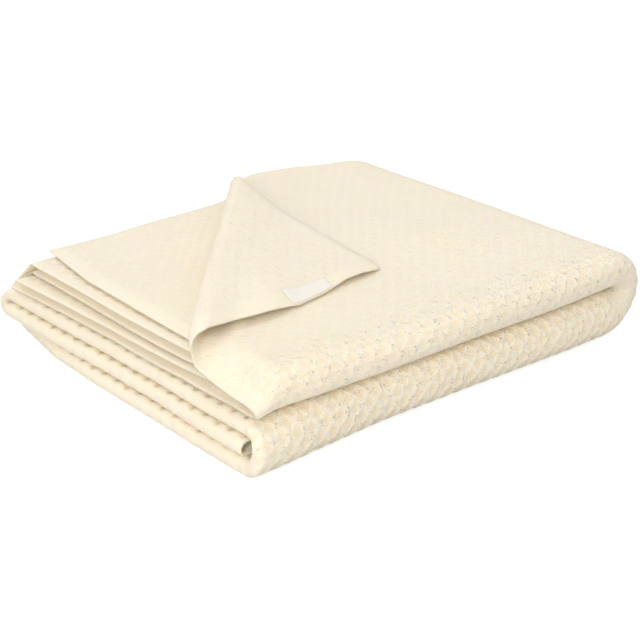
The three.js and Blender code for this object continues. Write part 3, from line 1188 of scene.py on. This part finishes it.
    def features(self, pen: NodePen, fuzz: bpy.types.ShaderNodeTree) -> dict[str, object]:
        """Finds where each of the knit's features shows.

        Args:
            pen: the material's pen.
            fuzz: the shared group for soft fibres.

        Returns:
            Each feature's socket by its name.
        """
        edge, relief, puffed = (pen.shaded(name) for name in ("edge", "relief", "puffed"))
        u, v, face = self.lattice.place(pen, pen.shaded("cloth", "Vector"))
        trees = (self.lattice_group(), self.stitch_group(), fuzz)
        wave, stitch, soft = (pen.add("ShaderNodeGroup", node_tree=tree) for tree in trees)
        for node in (wave, stitch):
            pen.feed_all(node, {"Along": u, "Across": v})
        pen.feed(soft.inputs["Place"], pen.add("ShaderNodeTexCoord").outputs["Object"])
        inside = pen.ramp(edge, *(part * self.lattice.hem for part in self.lattice.hem_ends))
        right = pen.times(pen.ramp(face, -0.5, 0.5), inside)
        wrong = pen.times(pen.ramp(face, 0.5, -0.5), inside)
        showing = pen.times(right, pen.ramp(relief, *self.shown_from))
        netted = pen.times(right, relief, pen.without(puffed))
        masks = {
            # Where each mark shows. Hollow and Notches carry painted shade, Ridge and Knots
            # painted highlights, Dashes the painted shadows of the ridges on the pressed top, and
            # Eyelets and Pins painted shade in holes.
            "Hollow": netted,
            "Ridge": netted,
            "Notches": puffed,
            "Knots": showing,
            "Dashes": pen.times(pen.without(relief), right),
            "Eyelets": wrong,
            "Pins": pen.times(showing, pen.without(pen.times(puffed, self.fold_smooth))),
        }
        found = {name: pen.times(wave.outputs[name], mask) for name, mask in masks.items()}
        for name in ("Cloud", "Fibre"):
            found[name] = pen.calc("SUBTRACT", soft.outputs[name], 0.5)
        found["Stitch"] = pen.calc("SUBTRACT", stitch.outputs["Height"], 0.5)
        return found

    def material(self, fuzz: bpy.types.ShaderNodeTree) -> bpy.types.Material:
        """Builds the knit's material.

        Args:
            fuzz: the shared group for soft fibres.

        Returns:
            The material.
        """
        made = bpy.data.materials.new("cream knit")
        made.use_nodes = True
        pen = NodePen(made.node_tree)
        found = self.features(pen, fuzz)
        # Mixes towards the deep ochre: painted shade and painted highlights from the hollows,
        # ridges, notches, dashes and knots, and the yarn's own tone from cloud, fibre and stitch.
        shade = pen.summed(found, self.shades, base=self.shade, clamp=True)
        colour = pen.blend(shade, (*self.yarn, 1.0), (*self.deep, 1.0))
        # Painted shade in the pinholes and eyelets.
        dark = pen.summed(found, self.holes, clamp=True)
        surface = {
            "Base Color": pen.blend(dark, colour, (*self.hole_shade, 1.0)),
            "Normal": pen.bump(pen.summed(found, self.heights), 1.0, MM),
            "Roughness": self.rough,
            "Specular IOR Level": self.shine,
            "Sheen Weight": self.sheen[0],
            "Sheen Roughness": self.sheen[1],
            "Subsurface Weight": self.scatter,
            "Subsurface Radius": self.scatter_reach,
            "Subsurface Scale": self.scatter_scale,
        }
        pen.feed_all(made.node_tree.nodes["Principled BSDF"], surface)
        return made


@dataclass(frozen=True)
class TapeFinish:
    """White woven tape with a fine twill."""

    colour: tuple[float, float, float] = (0.93, 0.90, 0.84)
    dark: tuple[float, float, float] = (0.80, 0.75, 0.66)
    thread: float = 0.00045
    shade: float = 0.4
    weave_shade: float = -0.3
    fibre_shade: float = 0.1
    weave_bump: float = 0.6
    weave_deep: float = 0.1 * MM
    rough: float = 0.7
    shine: float = 0.3

    def material(self, fuzz: bpy.types.ShaderNodeTree) -> bpy.types.Material:
        """Builds the tape's material.

        Args:
            fuzz: the shared group for soft fibres.

        Returns:
            The material.
        """
        made = bpy.data.materials.new("woven tape")
        made.use_nodes = True
        pen = NodePen(made.node_tree)
        place = pen.split(pen.shaded("cloth", "Vector"))
        s, t = (pen.calc("DIVIDE", part, self.thread) for part in place[:2])
        warp = pen.calc("SINE", pen.times(pen.calc("ADD", s, t), math.pi))
        weft = pen.calc("SINE", pen.times(t, 2 * math.pi))
        weave = pen.calc("MULTIPLY_ADD", pen.times(warp, weft), 0.5, 0.5)
        soft = pen.add("ShaderNodeGroup", node_tree=fuzz)
        pen.feed(soft.inputs["Place"], pen.add("ShaderNodeTexCoord").outputs["Object"])
        tone = pen.calc("MULTIPLY_ADD", weave, self.weave_shade, self.shade)
        fibre = pen.times(soft.outputs["Fibre"], self.fibre_shade)
        tone = pen.calc("ADD", tone, fibre, clamp=True)
        surface = {
            "Base Color": pen.blend(tone, (*self.colour, 1.0), (*self.dark, 1.0)),
            "Normal": pen.bump(weave, self.weave_bump, self.weave_deep),
            "Roughness": self.rough,
            "Specular IOR Level": self.shine,
        }
        pen.feed_all(made.node_tree.nodes["Principled BSDF"], surface)
        return made


# Pieces


def mesh_object(name: str, points: Array, polygons: list[Array]) -> bpy.types.Object:
    """Makes a smooth mesh object from points and arrays of polygons.

    Args:
        name: the object's name.
        points: its vertices, in metres.
        polygons: arrays of vertex numbers, one array for each number of corners.

    Returns:
        The object, in the scene.
    """
    mesh = bpy.data.meshes.new(name)
    filled = [p for p in polygons if len(p)]
    loops = np.concatenate([p.ravel() for p in filled])
    sizes = np.concatenate([np.full(len(p), p.shape[1]) for p in filled])
    starts = np.concatenate([[0], np.cumsum(sizes)[:-1]])
    mesh.vertices.add(len(points))
    mesh.vertices.foreach_set("co", points.astype(np.float32).ravel())
    mesh.loops.add(len(loops))
    mesh.loops.foreach_set("vertex_index", loops.astype(np.int32))
    mesh.polygons.add(len(sizes))
    mesh.polygons.foreach_set("loop_start", starts.astype(np.int32))
    mesh.update(calc_edges=True)
    mesh.validate()
    mesh.shade_smooth()
    made = bpy.data.objects.new(name, mesh)
    bpy.context.scene.collection.objects.link(made)
    return made


def grid_quads(number: Array) -> Array:
    """Lists the corners of each cell of a grid.

    Args:
        number: the grid's vertex numbers.

    Returns:
        A row of four numbers for each cell.
    """
    corners = [number[:-1, :-1], number[1:, :-1], number[1:, 1:], number[:-1, 1:]]
    return np.stack(corners, -1).reshape(-1, 4)


def write_attribute(made: bpy.types.Object, name: str, values: Array) -> None:
    """Stores numbers or vectors on a mesh's vertices.

    Args:
        made: the object.
        name: the attribute's name.
        values: a number or a vector for each vertex.
    """
    kind, key = ("FLOAT_VECTOR", "vector") if values.ndim == 2 else ("FLOAT", "value")
    layer = made.data.attributes.new(name, kind, "POINT")
    layer.data.foreach_set(key, values.astype(np.float32).ravel())


def write_uv(made: bpy.types.Object, places: Array) -> None:
    """Stores a flat layout for baking, one place for each corner of each face."""
    layer = made.data.uv_layers.new(name=BAKE_LAYOUT)
    layer.data.foreach_set("uv", places.astype(np.float32).ravel())


@dataclass(frozen=True)
class TwoFaceLayout:
    """Lays the two faces of a thin piece above each other, and its rim in columns beside them."""

    margin: float = 0.01
    columns: int = 4
    column_wide: float = 0.012
    column_apart: float = 0.03
    columns_from: float = 0.86

    def face(self, u: Array, v: Array, box: tuple[float, float], upper: Array) -> Array:
        """Places corners of the two faces.

        Args:
            u: flat places along the piece.
            v: flat places across it.
            box: the piece's length and width.
            upper: 1 for the face laid in the upper half.

        Returns:
            Places in the layout.
        """
        m = self.margin
        scale = min((0.5 - 2 * m) / box[1], (self.columns_from - 2 * m) / box[0])
        return np.stack([m + scale * u, m + 0.5 * upper + scale * v], -1)

    def rim(self, count: int) -> Array:
        """Places the four corners of each of the rim's faces.

        Args:
            count: the number of faces.

        Returns:
            Places in the layout.
        """
        k = np.arange(count)
        each = -(-count // self.columns)
        column, row = np.divmod(k, each)
        left = self.columns_from + self.column_apart * column
        step = (1 - 2 * self.margin) / each
        low = self.margin + step * row
        right, high = left + self.column_wide, low + step
        ends = ((left, low), (left, high), (right, high), (right, low))
        return np.stack([np.stack(e, -1) for e in ends], 1).reshape(-1, 2)


@dataclass
class KnittedSheet:
    """The blanket's cloth, fine where it shows and coarse where it is hidden between layers."""

    cloth: FoldedCloth
    lattice: KnitLattice
    node: str = "blanket"
    finest: float = 2.35
    hem_round: float = 1.6
    hem_thin: float = 0.8
    hem_wide: float = 12.0
    hem_taper: float = 2.4
    crease_from: float = 2.0
    crease_fade: float = 0.6
    crease_swell: float = 0.3
    round_end: float = 0.8
    clear_of_floor: float = 1.5
    crowded: tuple[float, float] = (0.35, 0.4)
    crest_relief: float = 0.68
    top_relief: float = 0.07
    top_from: tuple[float, float] = (-6.0, 72.0)
    under_relief: float = 0.25
    under_from: tuple[float, float] = (0.5, 0.2)
    roll_ends: float = 0.2
    lift_step: float = 0.2
    stretch_step: float = 1.0
    bend_level: int = 1
    roll_level: int = 2
    crease_level: int = 3
    look_step: int = 4
    look_out: float = 0.7
    look_slant: float = 0.08
    look_rings: tuple[tuple[float, int], ...] = ((6.0, 12), (26.0, 10), (50.0, 8), (76.0, 4))
    look_turned: tuple[float, ...] = (0.0, 0.5, 0.5, 0.5)

    def __post_init__(self) -> None:
        """Counts the smallest squares, in whole blocks of the largest ones."""
        block = 2 ** GradedSquares(0, 0).levels
        self.count_u = block * round(self.cloth.long / self.finest / block)
        self.count_v = block * round(self.cloth.wide / self.finest / block)
        self.squares = GradedSquares(self.count_u, self.count_v)

    def flat(self, i: Array, j: Array) -> tuple[Array, Array]:
        """Turns corner numbers into flat millimetres."""
        return i * self.cloth.long / self.count_u, j * self.cloth.wide / self.count_v

    def from_edge(self, u: Array, v: Array) -> Array:
        """The distance to the nearest edge of the flat sheet, in millimetres."""
        along = np.minimum(u, self.cloth.long - u)
        return np.minimum(along, np.minimum(v, self.cloth.wide - v))

    def crease_steps(self) -> float:
        """Finds the middle of the round left folds.

        Returns:
            Its place in steps along the sheet.
        """
        stretches = self.cloth.along.stretches
        before = [s.name for s in stretches].index("crease")
        return sum(s.steps for s in stretches[:before]) + stretches[before].steps / 2

    def at_crease(self, u: Array, v: Array) -> Array:
        """Finds the lower layers' round left folds.

        Args:
            u: flat millimetres along the sheet.
            v: flat millimetres across it.

        Returns:
            1 on the folds, less where they run into the front rolls, and 0 away from them.
        """
        along, across = self.cloth.to_steps(u, v)
        away = np.abs(along - self.crease_steps())
        folded = 1 - smooth((away - self.crease_from) / self.crease_fade)
        return folded * (1 - self.round_end * self.in_front_roll(across))

    def in_front_roll(self, across: Array) -> Array:
        """Finds the front rolls.

        Args:
            across: steps across the sheet.

        Returns:
            1 in the middle of the rolls, and 0 away from them.
        """
        c, f = self.cloth.across.split(across)
        rolled = self.cloth.across.named(c, "frontRoll")
        return np.where(rolled, smooth(np.minimum(f, 1 - f) / self.roll_ends), 0.0)

    def side(self, u: Array, v: Array, sign: Array) -> Array:
        """Finds how far each face lies from the cloth's middle.

        Args:
            u: flat millimetres along the sheet.
            v: flat millimetres across it.
            sign: 1 on the right side and -1 on the wrong side.

        Returns:
            Millimetres towards the right side, less at the hems and more on the round folds.
        """
        edge = self.from_edge(u, v)
        right = self.cloth.thick / 2 + self.crease_swell * self.at_crease(u, v)
        wrong = -self.cloth.thick / 2 + self.hem_taper * (1 - smooth(edge / self.hem_wide))
        near = 1 - clamp01(edge / self.hem_round)
        half = (right - wrong) / 2 * np.sqrt(1 - self.hem_thin * near**2)
        return (right + wrong) / 2 + sign * half

    def directions(self) -> list[Vector]:
        """Lists directions towards places from which the object may be looked at.

        Returns:
            Straight up, and rings of directions all round.
        """
        made = [Vector((0, 0, 1))]
        for (high, count), turned in zip(self.look_rings, self.look_turned):
            e = math.radians(high)
            for k in range(count):
                a = 2 * math.pi * (k + turned) / count
                flat = math.cos(e)
                made.append(Vector((math.cos(a) * flat, math.sin(a) * flat, math.sin(e))))
        return made

    def seen(self) -> dict[Face, Array]:
        """Finds which parts of each face can be seen from outside.

        Returns:
            For each face, whether each block of look_step smallest squares shows.
        """
        step = self.look_step
        i, j = np.meshgrid(
            np.arange(0, self.count_u + 1, step // 2),
            np.arange(0, self.count_v + 1, step // 2),
            indexing="ij",
        )
        shape = i.shape
        u, v = self.flat(i.ravel(), j.ravel())
        number = np.arange(u.size).reshape(shape)
        quads = grid_quads(number)
        points = {f: self.cloth.point(u, v, f.value * self.cloth.thick / 2) for f in Face}
        every = np.concatenate([points[Face.RIGHT], points[Face.WRONG]])
        faces = np.concatenate([quads, quads + u.size])
        tree = BVHTree.FromPolygons(every.tolist(), faces.tolist())
        looks = self.directions()
        found: dict[Face, Array] = {}
        for face in Face:
            away = self.cloth.point(u, v, face.value * (self.cloth.thick / 2 + self.look_out))
            normal = away - points[face]
            normal /= np.maximum(np.linalg.norm(normal, axis=1, keepdims=True), 1e-9)
            shown = np.zeros(shape, bool)
            for p in range(1, shape[0], 2):
                for q in range(1, shape[1], 2):
                    n = number[p, q]
                    at, up = Vector(away[n]), Vector(normal[n])
                    open_to = (d for d in looks if up.dot(d) > self.look_slant)
                    shown[p, q] = any(tree.ray_cast(at, d)[0] is None for d in open_to)
            found[face] = shown[1::2, 1::2]
        return found

    def wanted(self, shown: Array) -> Array:
        """Chooses how fine each square is.

        Args:
            shown: from seen(), for one face.

        Returns:
            The number of halvings that each of the smallest squares asks for.
        """
        g = np.pad(shown, 1)
        beside = [g[2:, 1:-1], g[:-2, 1:-1], g[1:-1, 2:], g[1:-1, :-2]]
        grown = np.max([shown, *beside], axis=0)
        fine = np.repeat(np.repeat(grown, self.look_step, 0), self.look_step, 1)
        i, j = np.arange(self.count_u) + 0.5, np.arange(self.count_v) + 0.5
        along, _ = self.cloth.to_steps(*self.flat(i, np.zeros_like(i)))
        _, across = self.cloth.to_steps(*self.flat(np.zeros_like(j), j))
        a, _ = self.cloth.along.split(along)
        c, _ = self.cloth.across.split(across)
        wanted = np.zeros((self.count_u, self.count_v), int)
        wanted[self.cloth.along.named(a, "bendOuter", "bendInner"), :] = self.bend_level
        wanted[:, self.cloth.across.named(c, "frontRoll", "backRoll")] = self.roll_level
        wanted[self.cloth.along.named(a, "crease"), :] = self.crease_level
        wanted = np.where(fine[: self.count_u, : self.count_v], self.squares.levels, wanted)
        wanted[[0, -1], :] = self.squares.levels
        wanted[:, [0, -1]] = self.squares.levels
        return wanted

    def faces(self) -> tuple[list[Array], Array]:
        """Lays squares over both faces of the cloth and joins them round its edge.

        Returns:
            Arrays of corner numbers, the rim's last, and for each corner whether all the squares
            round it are the finest.
        """
        corners = (self.count_u + 1) * (self.count_v + 1)
        seen = self.seen()
        polygons: list[Array] = []
        shows = np.zeros(2 * corners)
        for face in Face:
            level = self.squares.grade(self.wanted(seen[face]))
            LOG.info("%s side: %d of %d blocks show", face.name, seen[face].sum(), seen[face].size)
            offset = 0 if face is Face.RIGHT else corners
            for p in self.squares.polygons(level):
                polygons.append((p[:, ::-1] if face is Face.RIGHT else p) + offset)
            fine = np.pad(level == self.squares.levels, 1, mode="edge")
            inside = fine[1:, 1:] & fine[:-1, 1:] & fine[1:, :-1] & fine[:-1, :-1]
            shows[offset : offset + corners] = inside.ravel()
        border = self.squares.border()
        after = np.roll(border, -1)
        polygons.append(np.stack([border, after, after + corners, border + corners], -1))
        return polygons, shows

    def lay_flat(self, made: bpy.types.Object, polygons: list[Array]) -> None:
        """Writes the sheet's layout for baking.

        Args:
            made: the sheet's object.
            polygons: from faces().
        """
        row = self.count_v + 1
        corners = (self.count_u + 1) * row
        loops = np.concatenate([p.ravel() for p in polygons[:-1]])
        on_u, on_v = self.flat(*np.divmod(loops % corners, row))
        layout, box = TwoFaceLayout(), (self.cloth.long, self.cloth.wide)
        faces = layout.face(on_u, on_v, box, (loops >= corners).astype(float))
        write_uv(made, np.concatenate([faces, layout.rim(len(polygons[-1]))]))

    def build(self) -> bpy.types.Object:
        """Builds the closed sheet with what its relief and its material read.

        Returns:
            The sheet's object, still smooth.
        """
        row = self.count_v + 1
        corners = (self.count_u + 1) * row
        polygons, shows = self.faces()
        used = np.unique(np.concatenate([p.ravel() for p in polygons]))
        number = np.full(2 * corners, -1)
        number[used] = np.arange(len(used))
        sign = np.where(used < corners, 1, -1)
        u, v = self.flat(*np.divmod(used % corners, row))
        side = self.side(u, v, sign)
        points = self.cloth.point(u, v, side)
        lifted = self.cloth.point(u, v, side + self.lift_step * sign)
        lift = (lifted - points) / (self.lift_step * MM)
        lying = (lift[:, 2] < 0) & (points[:, 2] < self.clear_of_floor * MM)
        shows[used[lying]] = 0.0
        made = mesh_object("blanket_sheet", points, [number[p] for p in polygons])
        self.lay_flat(made, polygons)
        folded = np.interp(self.crease_steps(), self.cloth.along_steps, self.cloth.along_mm)
        write_attribute(made, "cloth", np.stack([(u - folded) * MM, v * MM, sign], -1))
        write_attribute(made, "puffed", self.at_crease(u, v))
        write_attribute(made, "lift", lift)
        write_attribute(made, "shows", shows[used])
        write_attribute(made, "edge", self.from_edge(u, v) * MM)
        write_attribute(made, "relief", self.relief(u, v, side, sign))
        return made

    def relief(self, u: Array, v: Array, side: Array, sign: Array) -> Array:
        """Chooses how strongly the knit stands out.

        Args:
            u: flat millimetres along the sheet.
            v: flat millimetres across it.
            side: millimetres from its middle.
            sign: 1 on the right side and -1 on the wrong side.

        Returns:
            1 where the knit is free, and less where it lies pressed or is crowded in a bend.
        """
        step = self.stretch_step
        before, after = self.cloth.point(u - step, v, side), self.cloth.point(u + step, v, side)
        reach = np.minimum(u + step, self.cloth.long) - np.maximum(u - step, 0.0)
        stretch = np.linalg.norm(after - before, axis=1) / (reach * MM)
        free = smooth((stretch - self.crowded[0]) / self.crowded[1])
        along, across = self.cloth.to_steps(u, v)
        a, _ = self.cloth.along.split(along)
        c, f = self.cloth.across.split(across)
        outer = self.cloth.along.named(a, "upperOuter", "bendOuter") & (sign > 0)
        top = outer & self.cloth.across.named(c, "topThird")
        y = mix(self.cloth.back_hem_y, self.cloth.front_roll_y, f)
        far = smooth((y - self.top_from[0]) / self.top_from[1])
        pressed = mix(self.crest_relief, self.top_relief, far)
        free = free * np.where(top, pressed, 1.0)
        under = outer & self.cloth.across.named(c, "frontRoll")
        round_part = smooth((f - self.under_from[0]) / self.under_from[1])
        below = mix(self.crest_relief, self.under_relief, round_part)
        return free * np.where(under, below, 1.0)

    def finish(self, made: bpy.types.Object, material: bpy.types.Material) -> bpy.types.Object:
        """Raises the knit, dresses it and takes the place of the frame's node.

        Args:
            made: from build().
            material: the knit's material.

        Returns:
            The finished sheet.
        """
        values = {
            "Cell Long": self.lattice.cell_long,
            "Cell Wide": self.lattice.cell_wide,
            "Right Side Depth": self.lattice.right_deep,
            "Wrong Side Depth": self.lattice.wrong_deep,
            "Hem": self.lattice.hem,
            "Seed": self.lattice.seed,
            "Material": material,
        }
        run_tree(made, self.lattice.relief_tree(), values)
        for name in ("lift", "shows"):
            made.data.attributes.remove(made.data.attributes[name])
        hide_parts(self.node)
        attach(made, "root")
        return made


@dataclass
class SewnLabel:
    """The blank tape label on the turned corner, along the hem."""

    sheet: KnittedSheet
    node: str = "label"
    start: float = 66.0
    long: float = 52.0
    inward: float = 1.0
    deep: float = 12.5
    thick: float = 0.6
    lift: float = 0.15
    step: float = 0.5
    round_off: float = 0.8
    round_thin: float = 0.8

    def build(self, material: bpy.types.Material) -> bpy.types.Object:
        """Builds the tape.

        Args:
            material: the tape's material.

        Returns:
            The label's object.
        """
        n, m = round(self.deep / self.step), round(self.long / self.step)
        i, j = np.meshgrid(np.arange(n + 1), np.arange(m + 1), indexing="ij")
        i, j = i.ravel(), j.ravel()
        hem, corner = self.inward + self.deep * i / n, self.start + self.long * j / m
        cloth = self.sheet.cloth
        u = np.interp(hem / cloth.top_step_x, cloth.along_steps, cloth.along_mm)
        v = np.interp(corner / cloth.top_step_y, cloth.across_steps, cloth.across_mm)
        from_side = np.minimum(i, n - i) * self.deep / n
        edge = np.minimum(from_side, np.minimum(j, m - j) * self.long / m)
        near = 1 - clamp01(edge / self.round_off)
        half = self.thick / 2 * np.sqrt(1 - self.round_thin * near**2)
        middle = self.sheet.side(u, v, -1.0) - self.lift - self.thick / 2
        number = np.arange(i.size).reshape(n + 1, m + 1)
        quads = grid_quads(number)
        sides = [number[:-1, 0], number[-1, :-1], number[:0:-1, -1], number[0, :0:-1]]
        border = np.concatenate(sides)
        after = np.roll(border, -1)
        rim = np.stack([border, after, after + i.size, border + i.size], -1)
        points = np.concatenate([cloth.point(u, v, middle + d) for d in (half, -half)])
        made = mesh_object("label_tape", points, [quads[:, ::-1], quads + i.size, rim])
        loops = np.concatenate([quads[:, ::-1].ravel(), (quads + i.size).ravel()])
        on = loops % i.size
        layout, box = TwoFaceLayout(), (self.long, self.deep)
        faces = layout.face(
            corner[on] - self.start, hem[on] - self.inward, box, (loops >= i.size).astype(float)
        )
        write_uv(made, np.concatenate([faces, layout.rim(len(border))]))
        flat = np.stack([corner * MM, hem * MM, np.zeros(i.size)], -1)
        write_attribute(made, "cloth", np.concatenate([flat, flat]))
        made.data.materials.append(material)
        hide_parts(self.node)
        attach(made, "root")
        return made


# Studio


@dataclass(frozen=True)
class Lamp:
    """One soft square lamp that faces the object."""

    name: str
    at: tuple[float, float, float]
    size: float
    watts: float


@dataclass(frozen=True)
class Studio:
    """Pale floor, soft light and the camera."""

    camera_at: tuple[float, float, float] = (-0.626656, -0.769801, 0.444771)
    yaw: float = 39.2204
    pitch: float = 23.7872
    roll: float = -0.4094
    lens: float = 75.987
    sensor: float = 36.0
    clip: tuple[float, float] = (0.02, 50.0)
    floor_half: float = 6.0
    floor_drop: float = 0.0003
    floor_glow: float = 0.6
    floor_tone: float = 0.7
    world: float = 0.715
    warm: tuple[float, float, float] = (1.0, 0.975, 0.96)
    lamps: tuple[Lamp, ...] = (
        Lamp("key", (0.1, 0.4, 1.8), 1.6, 8.2),
        Lamp("front", (-1.55, -1.25, 0.8), 0.8, 18.0),
    )

    def floor(self) -> None:
        """Lays a plain pale floor that hardly takes a shadow."""
        h, z = self.floor_half, -self.floor_drop
        points = np.array([[-h, -h, z], [h, -h, z], [h, h, z], [-h, h, z]])
        made = mesh_object("floor", points, [np.array([[0, 1, 2, 3]])])
        material = bpy.data.materials.new("pale floor")
        material.use_nodes = True
        pen = NodePen(material.node_tree)
        path = pen.add("ShaderNodeLightPath")
        surface = {
            "Base Color": (*[self.floor_tone] * 3, 1.0),
            "Roughness": 0.9,
            "Specular IOR Level": 0.0,
            "Emission Color": (1.0, 1.0, 1.0, 1.0),
            "Emission Strength": pen.times(path.outputs["Is Camera Ray"], self.floor_glow),
        }
        pen.feed_all(material.node_tree.nodes["Principled BSDF"], surface)
        made.data.materials.append(material)

    def light(self, lamp: Lamp) -> None:
        """Hangs one lamp.

        Args:
            lamp: its name, place, size and power.
        """
        data = bpy.data.lights.new(lamp.name, "AREA")
        data.size, data.energy, data.color = lamp.size, lamp.watts, self.warm
        made = bpy.data.objects.new(lamp.name, data)
        made.location = lamp.at
        made.rotation_euler = (-Vector(lamp.at)).to_track_quat("-Z", "Y").to_euler()
        bpy.context.scene.collection.objects.link(made)

    def camera(self) -> None:
        """Places the camera at the photograph's viewing angle."""
        data = bpy.data.cameras.new("camera")
        data.sensor_width, data.lens = self.sensor, self.lens
        data.clip_start, data.clip_end = self.clip
        y, e, r = (math.radians(a) for a in (self.yaw, self.pitch, self.roll))
        ahead = Vector((math.sin(y) * math.cos(e), math.cos(y) * math.cos(e), -math.sin(e)))
        level = Vector((math.cos(y), -math.sin(y), 0.0))
        upright = level.cross(ahead)
        right = level * math.cos(r) + upright * math.sin(r)
        up = upright * math.cos(r) - level * math.sin(r)
        made = bpy.data.objects.new("camera", data)
        turn = Matrix((right, up, -ahead)).transposed().to_4x4()
        made.matrix_world = Matrix.Translation(self.camera_at) @ turn
        bpy.context.scene.collection.objects.link(made)
        bpy.context.scene.camera = made

    def build(self) -> None:
        """Sets up the whole studio."""
        self.floor()
        self.camera()
        for lamp in self.lamps:
            self.light(lamp)
        world = bpy.data.worlds.new("studio")
        world.use_nodes = True
        back = world.node_tree.nodes["Background"]
        back.inputs["Color"].default_value = (*self.warm, 1.0)
        back.inputs["Strength"].default_value = self.world
        bpy.context.scene.world = world
        bpy.context.scene.view_settings.view_transform = "Standard"


def main() -> None:
    """Builds the blanket, its label and the studio."""
    logging.basicConfig(level=logging.INFO, format="%(name)s: %(message)s")
    cloth, lattice = FoldedCloth(), KnitLattice()
    LOG.info("flat sheet %.0f by %.0f mm", cloth.long, cloth.wide)
    fuzz = yarn_fuzz_group()
    sheet = KnittedSheet(cloth, lattice)
    blanket = sheet.finish(sheet.build(), KnitFinish(lattice).material(fuzz))
    blanket.data.calc_loop_triangles()
    LOG.info("blanket_sheet: %d triangles", len(blanket.data.loop_triangles))
    label = SewnLabel(sheet).build(TapeFinish().material(fuzz))
    LOG.info("label_tape: %d faces", len(label.data.polygons))
    Studio().build()


if __name__ == "__main__":
    main()
